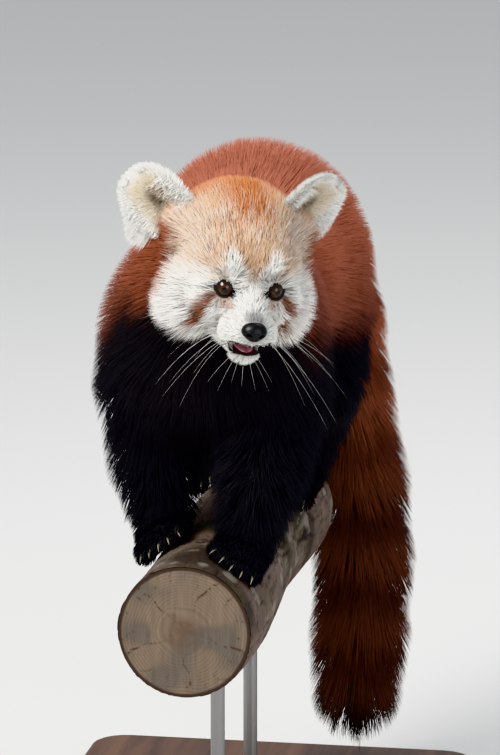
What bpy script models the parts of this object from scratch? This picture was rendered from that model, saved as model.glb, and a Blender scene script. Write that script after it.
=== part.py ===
"""A life-size red panda walking along a cut length of branch, on a plain display stand.

Metres, +Z up, the panda faces -Y and its left side is +X. The origin is the middle of the
base's underside. The body is a set of muscles, balls and bones, fused into one smooth form
and parted into head, neck, torso, legs, paws and tail. Over it lie the locks of its long coat.
"""
import math

import bmesh
import bpy
import numpy as np
from mathutils import Matrix, Vector
from mathutils.bvhtree import BVHTree

CM = 0.01
GAP = 0.0003  # between neighbours that touch
SEED = 7

# Driving dimensions of the stand, in metres
BASE_SIZE = (0.34, 0.50, 0.022)
BASE_CORNER = 0.03
PERCH_TOP = 0.310
PERCH_RADIUS = 0.053
PERCH_ENDS = (-13.5, 27.6)  # behind the front feet, in centimetres
ROD_RADIUS = 0.006
ROD_FLANGE = (0.017, 0.004)  # radius and height
ROD_PLACES = (1.5, 17.0)  # behind the front feet, in centimetres
FRONT_FEET_Y = -0.11

# Driving dimensions of the animal, in centimetres from the front feet and the perch's top
HEAD_CENTRE = (3.7, -10.0, 23.3)
HEAD_YAW, HEAD_PITCH, HEAD_ROLL = 22.5, 12.0, 6.5  # degrees: towards its left, down, leaning left
EYE_PLACE, EYE_RADIUS = (1.97, -4.05, 0.46), 0.80  # in the head's own frame
EYE_AIM = (0.26, -0.96, 0.03)
LID_THICKNESS = 0.13
LID_STAND_OFF = 0.45  # from the lids' surface to the middle of the cut that opens them
LID_OPENING = (0.76, 1.1, 0.60)  # half sizes across, deep and tall
MOUTH = {"centre": (-0.15, -5.3, -3.5), "radii": (1.9, 2.0, 0.4), "tilt": 3.0}
TONGUE = {"centre": (-0.25, -5.3, -3.68), "radii": (0.85, 1.25, 0.22)}
NOSE = {"centre": (0, -7.65, -1.70), "radii": (1.05, 0.80, 0.80)}
NOSTRIL = {"centre": (0.48, -8.37, -1.92), "radii": (0.24, 0.42, 0.15), "tilt": 28.0}
NOSE_GROOVE = {"centre": (0, -8.43, -2.25), "radii": (0.07, 0.22, 0.42)}
EARS = {  # in the head's frame: middle of the root, tip, and the way the cup faces
    "left": {"root": (4.2, 1.7, 3.8), "tip": (7.0, 1.9, 7.6), "face": (0.50, -0.84, 0.15)},
    "right": {"root": (-5.2, 1.8, 3.4), "tip": (-8.9, 3.2, 6.5), "face": (-0.30, -0.92, 0.2)},
}
EAR_HALF_WIDTH, EAR_CUP, EAR_THICK = 2.05, 1.25, 0.42
EAR_LEAN = 0.45  # from the root's line to the rim, towards the cup's opening
STANCE = 3.8  # from the middle of the branch to the middle of a paw
PAW_LENGTHS = {"fore": 2.7, "hind": 3.9}
CLAW_LENGTH, CLAW_RADIUS = 1.9, 0.24  # from inside the toe to the claw's point
FRONT_PAWS = {"left": -7.4, "right": -2.4}
HIND_PAWS = {"left": 18.5, "right": 22.0}
CORE_SHARE = 0.42  # of the coat's depth, where its dense part ends

# Where the body is parted into nodes, in centimetres: a place on each cut and the way it faces
HEAD_CUT = {"place": (0, 3.0, 0), "back": (0, 1, -0.35)}  # in the head's own frame
NECK_CUT = {"place": (1.2, -2.6, 19.4), "back": (0.1, 0.8, -0.6)}
TAIL_BEND = (3.6, 33.0, 12.5)  # the top of the hanging tail
CELL_MARGIN = 1.0  # round a limb, so that its node ends inside its neighbour's curve
PAW_CELL = {"wide": 6.4, "ends": 3.0, "above": 2.35, "deep": 6.6}  # above is from the branch's line

# Voxel size in metres and triangles of each solid form
FORMS = {"body": (0.006, 1300), "limb": (0.006, 170), "head": (0.0022, 1100), "paw": (0.003, 700)}
ROOT_TRIES = 4000

# Locks by node, in centimetres: spacing of their roots, length, thickness and the least coat they grow from
LOCKS = {
    "head": (2.0, 2.8, 0.42, 1.25), "neck": (2.7, 4.6, 0.6, 1.5), "torso": (3.7, 6.0, 0.7, 1.5),
    "foreleg_left": (3.7, 4.6, 0.65, 1.4), "foreleg_right": (3.7, 4.6, 0.65, 1.4),
    "hindleg_left": (3.9, 4.8, 0.65, 1.4), "hindleg_right": (3.9, 4.8, 0.65, 1.4),
    "tail": (2.9, 4.8, 0.65, 1.5), "tail_root": (2.9, 4.6, 0.65, 1.5),
}
LOCK_RINGS = ((0.0, 0.75), (0.33, 1.0), (0.68, 0.72), (1.0, 0.0))  # share of length, share of width
LOCK_CLEARANCE = 0.0008  # in metres, kept free of other nodes all round a lock
LOCK_SINK = 0.45  # below the dense coat's surface, so that a lock grows out of it

# How softly muscles run into each other, in centimetres
BLEND = {"torso": 2.5, "neck": 1.5, "head": 0.8, "leg": 1.1, "paw": 0.3, "tail": 1.0}
JOIN = {"neck": 2.4, "head": 1.5, "tail": 1.6, "leg": 1.8}
COAT_BLEND = 0.7


def at(x, y, z):
    """A place in metres from centimetres left of the middle, behind the front feet, above the perch."""
    return np.array([x * CM, y * CM + FRONT_FEET_Y, z * CM + PERCH_TOP])


def head_turn():
    """The head's axes as columns, for its own frame of left, back and up."""
    yaw, pitch, roll = (math.radians(a) for a in (HEAD_YAW, HEAD_PITCH, HEAD_ROLL))
    turn = Matrix.Rotation(yaw, 3, "Z") @ Matrix.Rotation(pitch, 3, "X") @ Matrix.Rotation(roll, 3, "Y")
    return np.array(turn)


HEAD_TURN = head_turn()


def on_head(x, y, z):
    """A place in metres from centimetres in the head's own frame."""
    return at(*HEAD_CENTRE) + HEAD_TURN @ (np.array([x, y, z]) * CM)


def unit(vector):
    vector = np.asarray(vector, float)
    return vector / np.linalg.norm(vector)


def ball(centre, radii, coat, lie, turn=None):
    """An ellipsoid of flesh. Radii and coat are in centimetres, and lie is the way its hair points."""
    return {"kind": "ball", "centre": centre, "radii": np.array(radii) * CM, "coat": coat * CM,
            "lie": unit(lie), "turn": np.eye(3) if turn is None else turn}


def bone(start, end, radii, coat, lie):
    """A tube of flesh with round ends, from one radius to another, in centimetres."""
    return {"kind": "bone", "start": start, "end": end, "radii": np.array(radii) * CM,
            "coat": coat * CM, "lie": unit(lie)}


def head_ball(centre, radii, coat, lie):
    return ball(on_head(*centre), radii, coat, HEAD_TURN @ unit(lie), HEAD_TURN)


def head_bone(start, end, radii, coat, lie):
    return bone(on_head(*start), on_head(*end), radii, coat, HEAD_TURN @ unit(lie))


def torso_flesh():
    return [
        ball(at(0, 1.0, 16.6), (6.2, 7.4, 6.7), 2.9, (0, 0.75, -0.65)),
        ball(at(-0.1, 12.0, 17.8), (6.2, 10.5, 6.7), 3.0, (0, 1, -0.35)),
        ball(at(-0.2, 21.5, 18.2), (6.6, 8.2, 6.9), 3.1, (0, 0.9, -0.45)),
    ]


def neck_flesh():
    return [bone(at(0.8, -1.5, 19.6), at(2.9, -7.2, 22.2), (5.1, 4.5), 2.6, (-0.1, 0.8, -0.6))]


def head_flesh():
    flesh = [
        head_ball((0, 1.7, 2.1), (4.6, 4.5, 4.1), 1.1, (0, 1, 0.15)),
        head_ball((0, -1.5, 1.5), (3.7, 2.9, 3.0), 0.8, (0, 0.7, 0.7)),
        head_ball((0, -0.8, -0.9), (4.4, 3.6, 3.3), 1.6, (0, 0.9, -0.4)),
        head_bone((0, -3.4, -1.4), (0, -6.25, -2.3), (2.4, 1.45), 0.3, (0, 1, 0)),
        head_bone((0, -3.6, -0.15), (0, -7.05, -1.5), (1.55, 0.85), 0.25, (0, 0.9, 0.4)),
        head_bone((0, -2.4, -3.0), (0, -5.5, -3.7), (2.3, 1.3), 0.5, (0, 0.9, -0.4)),
    ]
    for side in (1, -1):
        flesh += [
            head_ball((3.1 * side, -0.5, -1.9), (1.8, 2.5, 2.2), 2.1, (0.85 * side, 0.5, -0.35)),
            head_ball((4.1 * side, 1.8, 2.7), (1.5, 1.5, 1.7), 1.0, (0.8 * side, 0.5, 0.3)),
            head_ball((1.6 * side, -3.6, 2.1), (1.1, 1.0, 0.85), 0.4, (0.2 * side, 0.6, 0.8)),
            head_ball((2.3 * side, -3.5, -0.7), (1.5, 1.3, 1.2), 0.5, (0.8 * side, 0.6, -0.2)),
            head_ball((1.0 * side, -5.9, -2.5), (1.15, 1.3, 1.0), 0.25, (0.5 * side, 0.8, -0.3)),
        ]
    return flesh


def paw_turn(side):
    """A paw lies on the shoulder of the branch: its axes across, along and out of the bark."""
    lean = math.asin(STANCE * CM / (PERCH_RADIUS + 1.2 * CM))
    return np.array(Matrix.Rotation(side * lean, 3, "Y"))


def on_paw(side, y, across, along, out):
    """A place on a paw: across it, along the branch and out from the bark, in centimetres."""
    axis = at(0, y, 0) - np.array([0, 0, PERCH_RADIUS])
    return axis + paw_turn(side) @ np.array([across * CM, along * CM, PERCH_RADIUS + out * CM])


def toe_tip(side, y, long, toe):
    reach = long * (0.98 - 0.05 * toe * toe)
    return on_paw(side, y, toe * 0.86, -reach - 0.35, 0.62)


def paw_flesh(side, y, wide, long, hind):
    """The sole and five toes, set fanwise round the branch."""
    lie = (0, -0.8, -0.5)
    flesh = [ball(on_paw(side, y, 0, 0, 1.15), (wide, long, 1.25), 0.6, lie, paw_turn(side))]
    for toe in range(-2, 3):
        root = on_paw(side, y, toe * 0.62, -0.35 * long, 1.25)
        flesh.append(bone(root, toe_tip(side, y, long, toe), (0.66, 0.56 if hind else 0.58), 0.45, lie))
    return flesh


def claws(side, y, long):
    """Five claws, one from the end of each toe, curving down to the bark."""
    made = []
    for toe in range(-2, 3):
        aim = look_along(paw_turn(side) @ unit((0.12 * toe, -1, -0.22)))
        centre = toe_tip(side, y, long, toe) + aim[:, 2] * CLAW_LENGTH * CM * 0.5
        bm = bmesh.new()
        place = Matrix.Translation(Vector(centre)) @ Matrix(aim).to_4x4()
        bmesh.ops.create_cone(bm, cap_ends=True, segments=6, radius1=CLAW_RADIUS * CM, radius2=0.0,
                              depth=CLAW_LENGTH * CM, matrix=place)
        made.append(from_bmesh("claw", bm))
    return made


def foreleg_flesh(side, y):
    """Shoulder, upper arm and forearm of one side, down to the wrist above the paw."""
    shoulder, elbow = at(5.2 * side, 0.6 + 0.15 * y, 11.0), at(4.6 * side, y + 2.0, 4.6)
    return [
        ball(at(4.5 * side, 0.3, 14.0), (2.8, 4.2, 5.2), 2.4, (0, 0.35, -0.9)),
        bone(shoulder, elbow, (2.7, 2.0), 2.3, (0, 0.3, -1)),
        bone(elbow, at(4.1 * side, y + 0.8, 1.3), (1.8, 1.5), 1.1, (0, 0.1, -1)),
    ]


def hindleg_flesh(side, y):
    """Thigh, shank and hock of one side, down to the heel above the flat foot."""
    knee, hock = at(5.6 * side, y - 2.5, 9.0), at(4.7 * side, y + 3.2, 4.6)
    return [
        ball(at(4.4 * side, 0.6 * y + 9.6, 14.0), (2.9, 5.2, 5.6), 2.5, (0, 0.4, -0.9)),
        bone(at(5.2 * side, y, 12.5), knee, (3.2, 2.6), 2.2, (0, 0.3, -1)),
        bone(knee, hock, (2.4, 1.7), 1.9, (0, 0.5, -0.9)),
        bone(hock, at(4.1 * side, y + 2.6, 1.3), (1.6, 1.4), 1.2, (0, 0, -1)),
    ]


# The tail's middle line in centimetres, with the flesh's radius and the coat's depth there
TAIL_LINE = [
    ((0.8, 26.5, 19.2), 2.4, 2.6), ((1.8, 30.6, 18.8), 2.1, 2.5), ((3.4, 33.2, 15.6), 1.9, 2.6),
    ((4.6, 33.6, 10.5), 1.7, 2.8), ((5.4, 33.2, 4.3), 1.6, 3.0), ((6.8, 33.0, -4.0), 1.5, 3.2),
    ((7.2, 33.0, -11.0), 1.4, 3.4), ((6.9, 33.0, -18.0), 1.2, 3.4), ((6.6, 33.0, -23.2), 0.9, 3.1),
]


def tail_flesh():
    flesh = []
    for (start, first, coat), (end, second, _) in zip(TAIL_LINE, TAIL_LINE[1:]):
        flesh.append(bone(at(*start), at(*end), (first, second), coat, np.subtract(end, start)))
    return flesh


def all_flesh():
    """Every part's muscles, by name."""
    parts = {"torso": torso_flesh(), "neck": neck_flesh(), "head": head_flesh(), "tail": tail_flesh()}
    for name, side in (("left", 1), ("right", -1)):
        front, hind = FRONT_PAWS[name], HIND_PAWS[name]
        parts["foreleg_" + name] = foreleg_flesh(side, front)
        parts["forepaw_" + name] = paw_flesh(side, front, 2.0, PAW_LENGTHS["fore"], False)
        parts["hindleg_" + name] = hindleg_flesh(side, hind)
        parts["hindpaw_" + name] = paw_flesh(side, hind, 1.9, PAW_LENGTHS["hind"], True)
    return parts


FLESH = all_flesh()


def flesh_distance(points, muscle):
    """How far outside a muscle the points are, negative inside."""
    if muscle["kind"] == "ball":
        local = (points - muscle["centre"]) @ muscle["turn"]
        near = np.linalg.norm(local / muscle["radii"], axis=1)
        slope = np.linalg.norm(local / muscle["radii"] ** 2, axis=1)
        return near * (near - 1) / np.maximum(slope, 1e-9)
    axis = muscle["end"] - muscle["start"]
    length = np.linalg.norm(axis)
    axis = axis / length
    first, second = muscle["radii"]
    rise = (first - second) / length
    along = (points - muscle["start"]) @ axis
    across = np.sqrt(np.maximum(((points - muscle["start"]) ** 2).sum(1) - along ** 2, 0))
    lean = math.sqrt(max(1 - rise * rise, 1e-6))
    foot = along + across * rise / lean
    share = np.clip(foot / length, 0, 1)
    return np.hypot(across, along - share * length) - (first + (second - first) * share)


def soft_min(a, b, width):
    """The smaller of two distances, rounded where they are closer than width."""
    near = np.maximum(width - np.abs(a - b), 0) / width
    return np.minimum(a, b) - near * near * width / 4


def part_distance(points, part):
    kind = next((k for k in BLEND if k in part), "torso")
    width = BLEND[kind] * CM
    found = None
    for muscle in FLESH[part]:
        this = flesh_distance(points, muscle)
        found = this if found is None else soft_min(found, this, width)
    return found


def body_distance(points):
    """The whole body's skin, fused: trunk, head and tail, with each leg grown from the trunk."""
    trunk = part_distance(points, "torso")
    for part in ("neck", "head", "tail"):
        trunk = soft_min(trunk, part_distance(points, part), JOIN[part] * CM)
    body = trunk
    for pair in ("fore", "hind"):
        for side in ("left", "right"):
            leg = part_distance(points, pair + "leg_" + side)
            leg = soft_min(leg, part_distance(points, pair + "paw_" + side), 0.9 * CM)
            body = np.minimum(body, soft_min(trunk, leg, JOIN["leg"] * CM))
    return body


def coat_at(points):
    """The coat's depth and the way its hair points, mixed from the nearest muscles."""
    muscles = [m for part in FLESH.values() for m in part]
    distances = np.array([flesh_distance(points, m) for m in muscles])
    weight = np.exp(-(distances - distances.min(0)) / (COAT_BLEND * CM))
    weight /= weight.sum(0)
    depth = np.array([m["coat"] for m in muscles]) @ weight
    lie = weight.T @ np.array([m["lie"] for m in muscles])
    return depth, lie


def gradient(points, function, step=0.0005):
    """Which way a distance grows, by differences."""
    sides = []
    for axis in np.eye(3) * step:
        sides.append((function(points + axis) - function(points - axis)) / (2 * step))
    slope = np.stack(sides, 1)
    return slope / np.maximum(np.linalg.norm(slope, axis=1, keepdims=True), 1e-9)


def new_object(name, vertices, faces):
    mesh = bpy.data.meshes.new(name)
    mesh.from_pydata([tuple(v) for v in vertices], [], faces)
    obj = bpy.data.objects.new(name, mesh)
    bpy.context.scene.collection.objects.link(obj)
    return obj


def from_bmesh(name, bm):
    """A new object whose faces point out."""
    bmesh.ops.recalc_face_normals(bm, faces=bm.faces)
    if bm.calc_volume(signed=True) < 0:
        bmesh.ops.reverse_faces(bm, faces=bm.faces)
    mesh = bpy.data.meshes.new(name)
    bm.to_mesh(mesh)
    bm.free()
    obj = bpy.data.objects.new(name, mesh)
    bpy.context.scene.collection.objects.link(obj)
    return obj


def apply_modifiers(obj):
    """Makes the evaluated mesh the object's own."""
    bpy.context.view_layer.update()
    graph = bpy.context.evaluated_depsgraph_get()
    mesh = bpy.data.meshes.new_from_object(obj.evaluated_get(graph))
    obj.modifiers.clear()
    obj.data = mesh
    return obj


def remove(*objects):
    for obj in objects:
        bpy.data.objects.remove(obj)


def boolean(obj, other, operation, solver="EXACT"):
    modifier = obj.modifiers.new("boolean", "BOOLEAN")
    modifier.operation = operation
    modifier.solver = solver
    modifier.object = other
    return apply_modifiers(obj)


def coordinates(obj):
    found = np.empty(len(obj.data.vertices) * 3)
    obj.data.vertices.foreach_get("co", found)
    return found.reshape(-1, 3)


def set_coordinates(obj, points):
    obj.data.vertices.foreach_set("co", points.astype(np.float32).ravel())
    obj.data.update()


def copy_of(obj, grow=0.0):
    """A copy of a solid, pushed out along its normals by grow."""
    made = obj.copy()
    made.data = obj.data.copy()
    bpy.context.scene.collection.objects.link(made)
    if grow:
        normals = np.empty(len(made.data.vertices) * 3)
        made.data.vertices.foreach_get("normal", normals)
        set_coordinates(made, coordinates(made) + normals.reshape(-1, 3) * grow)
    return made


def keep_largest(obj):
    """Drops all but the largest closed surface."""
    bm = bmesh.new()
    bm.from_mesh(obj.data)
    bmesh.ops.remove_doubles(bm, verts=bm.verts, dist=2e-6)
    bmesh.ops.dissolve_degenerate(bm, dist=2e-6, edges=bm.edges)
    bmesh.ops.triangulate(bm, faces=bm.faces)
    left, shells = set(bm.faces), []
    while left:
        front = [left.pop()]
        shell = list(front)
        while front:
            for edge in front.pop().edges:
                for face in edge.link_faces if len(edge.link_faces) == 2 else ():
                    if face in left:
                        left.discard(face)
                        front.append(face)
                        shell.append(face)
        shells.append(shell)

    def volume(shell):
        return abs(sum(f.verts[0].co.dot(f.verts[1].co.cross(f.verts[2].co)) for f in shell))

    shells.sort(key=volume)
    extra = [face for shell in shells[:-1] for face in shell]
    bmesh.ops.delete(bm, geom=extra, context="FACES")
    loose = [v for v in bm.verts if not v.link_faces]
    bmesh.ops.delete(bm, geom=loose, context="VERTS")
    bm.to_mesh(obj.data)
    bm.free()
    return obj


def even_directions(count):
    """Directions spread evenly over a sphere."""
    turn = np.arange(count) * math.pi * (3 - math.sqrt(5))
    height = 1 - (2 * np.arange(count) + 1) / count
    across = np.sqrt(1 - height * height)
    return np.stack([across * np.cos(turn), across * np.sin(turn), height], 1)


def rough_muscle(bm, muscle, grow):
    """Adds a closed ball, or the hull of a tube's two ends."""
    if muscle["kind"] == "ball":
        made = bmesh.ops.create_icosphere(bm, subdivisions=4, radius=1.0)["verts"]
        for vertex in made:
            local = np.array(vertex.co) * (muscle["radii"] + grow)
            vertex.co = Vector(muscle["centre"] + muscle["turn"] @ local)
        return
    ends = []
    for centre, radius in ((muscle["start"], muscle["radii"][0]), (muscle["end"], muscle["radii"][1])):
        ends += [bm.verts.new(Vector(centre + way * (radius + grow))) for way in even_directions(150)]
    hull = bmesh.ops.convex_hull(bm, input=ends, use_existing_faces=False)
    inside = [e for e in hull["geom_interior"] if isinstance(e, bmesh.types.BMVert)]
    bmesh.ops.delete(bm, geom=inside, context="VERTS")


def relax(obj, points, share):
    """Moves each vertex part of the way to its neighbours' middle."""
    edges = np.empty(len(obj.data.edges) * 2, int)
    obj.data.edges.foreach_get("vertices", edges)
    edges = edges.reshape(-1, 2)
    total, count = np.zeros_like(points), np.zeros(len(points))
    for a, b in ((0, 1), (1, 0)):
        np.add.at(total, edges[:, a], points[edges[:, b]])
        np.add.at(count, edges[:, a], 1)
    return points + share * (total / count[:, None] - points)


def level_solid(name, parts, distance, offset, voxel, triangles):
    """The closed surface where distance equals offset, near these parts' muscles."""
    bm = bmesh.new()
    for part in parts:
        for muscle in FLESH[part]:
            rough_muscle(bm, muscle, float(offset(muscle.get("centre", muscle.get("start"))[None])[0]))
    obj = from_bmesh(name, bm)
    remesh = obj.modifiers.new("remesh", "REMESH")
    remesh.mode = "VOXEL"
    remesh.voxel_size = voxel
    apply_modifiers(obj)
    points = coordinates(obj)
    for turn in range(8):
        if turn < 6:
            points = relax(obj, points, 0.5)
        far = distance(points) - offset(points)
        points = points - gradient(points, distance) * np.clip(far, -voxel, voxel)[:, None]
    set_coordinates(obj, points)
    decimate = obj.modifiers.new("decimate", "DECIMATE")
    decimate.ratio = min(1.0, triangles / (2 * len(obj.data.polygons)))
    decimate.use_collapse_triangulate = True
    return keep_largest(apply_modifiers(obj))


def core_offset(points):
    return CORE_SHARE * coat_at(points)[0]


def box_solid(name, centre, size, turn=None):
    """A block with its middle at centre, used as a cell that parts the body."""
    bm = bmesh.new()
    bmesh.ops.create_cube(bm, size=1.0)
    turn = np.eye(3) if turn is None else turn
    for vertex in bm.verts:
        vertex.co = Vector(centre + turn @ (np.array(vertex.co) * size))
    return from_bmesh(name, bm)


def cut_cell(name, place, back):
    """All the space ahead of a cut that faces back."""
    size = 0.3
    return box_solid(name, place - back * size / 2, (size, size, size), look_along(back))


def look_along(direction):
    """Axes whose third column points along direction."""
    third = unit(direction)
    first = unit(np.cross((0, 0, 1) if abs(third[2]) < 0.9 else (0, 1, 0), third))
    return np.stack([first, np.cross(third, first), third], 1)


def part_cell(part):
    """The space round a limb that its node takes from the body."""
    return level_solid(part + "_cell", [part], lambda p: part_distance(p, part),
                       lambda p: core_offset(p) + CELL_MARGIN * CM, *FORMS["limb"])


def paw_cell(side, y, long):
    """The space round one paw, below its wrist or heel."""
    size = np.array([PAW_CELL["wide"], 2 * (long + PAW_CELL["ends"]), PAW_CELL["deep"]]) * CM
    centre = on_paw(side, y, 0, -1, PAW_CELL["above"] - 0.5 * PAW_CELL["deep"])
    return box_solid("paw_cell", centre, size, paw_turn(side))


def perch_line(share):
    """The branch's middle line, slightly bowed, and its radius there."""
    first, last = PERCH_ENDS
    y = first + (last - first) * share
    bow = 0.25 * math.sin(2.4 * math.pi * share)
    radius = PERCH_RADIUS * (1.03 - 0.06 * share + 0.012 * math.sin(9.0 * share))
    centre = at(bow, y, 0) - np.array([0, 0, radius + 0.0004])
    return centre, radius


def perch(rings=12, sides=20):
    """A cut length of branch with a side knot, lying level under the feet."""
    bm = bmesh.new()
    loops = []
    for ring in range(rings + 1):
        centre, radius = perch_line(ring / rings)
        loop = []
        for side in range(sides):
            angle = 2 * math.pi * side / sides
            uneven = 1 + 0.018 * math.sin(3 * angle + ring * 0.8) * (1 if math.sin(angle) < 0.5 else 0)
            offset = radius * uneven * np.array([math.cos(angle), 0, math.sin(angle)])
            loop.append(bm.verts.new(Vector(centre + offset)))
        loops.append(loop)
    for a, b in zip(loops, loops[1:]):
        for side in range(sides):
            after = (side + 1) % sides
            bm.faces.new((a[side], a[after], b[after], b[side]))
    bm.faces.new(loops[0])
    bm.faces.new(reversed(loops[-1]))
    return from_bmesh("perch_branch", bm)


def perch_knot():
    """The stub of a side twig, low on the branch's right."""
    centre, radius = perch_line(0.16)
    aim = look_along((-0.85, -0.2, -0.35))
    bm = bmesh.new()
    place = Matrix.Translation(Vector(centre + aim[:, 2] * radius * 0.95)) @ Matrix(aim).to_4x4()
    bmesh.ops.create_cone(bm, cap_ends=True, segments=12, radius1=0.019, radius2=0.012,
                          depth=0.03, matrix=place)
    return from_bmesh("knot", bm)


def stand_base():
    """A flat board with round corners and an eased upper edge."""
    wide, long, thick = BASE_SIZE
    bm = bmesh.new()
    bmesh.ops.create_cube(bm, size=1.0)
    bmesh.ops.scale(bm, vec=(wide, long, thick), verts=bm.verts)
    bmesh.ops.translate(bm, vec=(0, 0, thick / 2), verts=bm.verts)
    upright = [e for e in bm.edges if abs(e.verts[0].co.z - e.verts[1].co.z) > thick / 2]
    bmesh.ops.bevel(bm, geom=upright, offset=BASE_CORNER, segments=5, profile=0.5, affect="EDGES")
    rim = [e for e in bm.edges if min(v.co.z for v in e.verts) > thick - 1e-6]
    bmesh.ops.bevel(bm, geom=rim, offset=0.004, segments=2, profile=0.5, affect="EDGES")
    return from_bmesh("stand_base", bm)


def stand_rod(name, y, sides=16):
    """A turned steel rod with a foot flange, from the base up into the branch."""
    low, high = BASE_SIZE[2] + GAP, PERCH_TOP - PERCH_RADIUS
    flange, thick = ROD_FLANGE
    profile = [(flange, low), (flange, low + thick), (ROD_RADIUS, low + thick + 0.002), (ROD_RADIUS, high)]
    bm = bmesh.new()
    loops = []
    for radius, z in profile:
        loop = []
        for side in range(sides):
            angle = 2 * math.pi * side / sides
            x, depth = radius * math.cos(angle), radius * math.sin(angle)
            loop.append(bm.verts.new((x, y * CM + FRONT_FEET_Y + depth, z)))
        loops.append(loop)
    for a, b in zip(loops, loops[1:]):
        for side in range(sides):
            after = (side + 1) % sides
            bm.faces.new((a[side], a[after], b[after], b[side]))
    bm.faces.new(reversed(loops[0]))
    bm.faces.new(loops[-1])
    return from_bmesh(name, bm)


def solid_ball(name, centre, radii, turn=None, subdivisions=3):
    bm = bmesh.new()
    bmesh.ops.create_icosphere(bm, subdivisions=subdivisions, radius=1.0)
    turn = np.eye(3) if turn is None else turn
    for vertex in bm.verts:
        vertex.co = Vector(centre + turn @ (np.array(vertex.co) * np.array(radii) * CM))
    return from_bmesh(name, bm)


def eye_centre(side):
    x, y, z = EYE_PLACE
    return on_head(x * side, y, z)


def eye_turn(side):
    """The eye's axes: across, up the face, and out through the pupil."""
    x, y, z = EYE_AIM
    out = HEAD_TURN @ unit((x * side, y, z))
    across = unit(np.cross(HEAD_TURN[:, 2], out))
    return np.stack([across, np.cross(out, across), out], 1)


def set_eyes(head, eyes):
    """Gives the head lids round each eye, with an almond opening, and a socket behind."""
    for side, eye in ((1, eyes[0]), (-1, eyes[1])):
        centre, turn = eye_centre(side), eye_turn(side)
        lid_radius = EYE_RADIUS + LID_THICKNESS
        lid = solid_ball("lid", centre, (lid_radius,) * 3, turn, 2)
        boolean(head, lid, "UNION")
        across, deep, tall = LID_OPENING
        front = centre + turn[:, 2] * (lid_radius + LID_STAND_OFF) * CM
        opening = solid_ball("opening", front, (across, tall, deep), turn, 2)
        boolean(head, opening, "DIFFERENCE")
        socket = copy_of(eye, GAP)
        boolean(head, socket, "DIFFERENCE")
        remove(lid, opening, socket)


def mouth_turn():
    return HEAD_TURN @ np.array(Matrix.Rotation(math.radians(MOUTH["tilt"]), 3, "X"))


def open_mouth(head):
    """Parts the lips and hollows the mouth between them."""
    cut = solid_ball("mouth", on_head(*MOUTH["centre"]), MOUTH["radii"], mouth_turn())
    boolean(head, cut, "DIFFERENCE")
    remove(cut)


def tongue(head):
    made = solid_ball("tongue", on_head(*TONGUE["centre"]), TONGUE["radii"], mouth_turn(), 2)
    return clear_of(made, head)


def nose_pad(head):
    """The leathery nose, with a nostril on each side and a groove down its middle."""
    made = solid_ball("nose_pad", on_head(*NOSE["centre"]), NOSE["radii"], HEAD_TURN, 2)
    x, y, z = NOSTRIL["centre"]
    for side in (1, -1):
        turn = HEAD_TURN @ np.array(Matrix.Rotation(math.radians(-NOSTRIL["tilt"] * side), 3, "Y"))
        hole = solid_ball("nostril", on_head(x * side, y, z), NOSTRIL["radii"], turn, 2)
        boolean(made, hole, "DIFFERENCE")
        remove(hole)
    groove = solid_ball("groove", on_head(*NOSE_GROOVE["centre"]), NOSE_GROOVE["radii"], HEAD_TURN, 2)
    boolean(made, groove, "DIFFERENCE")
    remove(groove)
    return clear_of(made, head)


def clear_of(obj, *others):
    """Cuts an object back from its neighbours, leaving the gap between them."""
    for other in others:
        cutter = copy_of(other, GAP)
        boolean(obj, cutter, "DIFFERENCE")
        remove(cutter)
    return keep_largest(obj)


def ear_frame(name):
    ear = EARS[name]
    root, tip = np.array(ear["root"]), np.array(ear["tip"])
    up = unit(tip - root)
    face = unit(np.array(ear["face"]) - up * np.dot(ear["face"], up))
    return root, np.linalg.norm(tip - root), up, face, np.cross(up, face)


def ear_point(name, across, along, out=0.0):
    """A place on an ear in metres: across from -1 to 1, along from root to tip, out of its cup."""
    root, length, up, face, side = ear_frame(name)
    width = EAR_HALF_WIDTH * (0.86 + 0.5 * along) * math.sqrt(max(1 - along ** 2.6, 0.0))
    cup = EAR_CUP * (1 - 0.75 * along) * (1 - across * across)
    place = root + up * length * along + side * width * across + face * (EAR_LEAN - cup + out)
    return on_head(*place)


def ear(name, columns=6, rows=7):
    """A cupped ear, rounded at its tip, as a shell of even thickness."""
    vertices, faces = [], []
    grid = {}
    for layer in (0, 1):
        for row in range(rows + 1):
            for column in range(columns + 1):
                along = math.sin(0.5 * math.pi * row / rows)
                across = -1 + 2 * column / columns
                thick = EAR_THICK * (1 - 0.45 * along) * (1 - 0.5 * across ** 4)
                grid[layer, row, column] = len(vertices)
                vertices.append(ear_point(name, across * 0.98, along * 0.985, -thick * layer))
    for row in range(rows):
        for column in range(columns):
            for layer in (0, 1):
                faces.append([grid[layer, row + r, column + c] for r, c in ((0, 0), (0, 1), (1, 1), (1, 0))])
    rim = [(row, 0) for row in range(rows + 1)] + [(rows, c) for c in range(1, columns + 1)]
    rim += [(row, columns) for row in range(rows - 1, -1, -1)] + [(0, c) for c in range(columns - 1, 0, -1)]
    for (r, c), (s, d) in zip(rim, rim[1:] + rim[:1]):
        faces.append([grid[0, r, c], grid[0, s, d], grid[1, s, d], grid[1, r, c]])
    obj = new_object("ear_" + name, vertices, faces)
    bm = bmesh.new()
    bm.from_mesh(obj.data)
    bmesh.ops.triangulate(bm, faces=bm.faces)
    bmesh.ops.recalc_face_normals(bm, faces=bm.faces)
    bm.to_mesh(obj.data)
    bm.free()
    return obj


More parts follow.
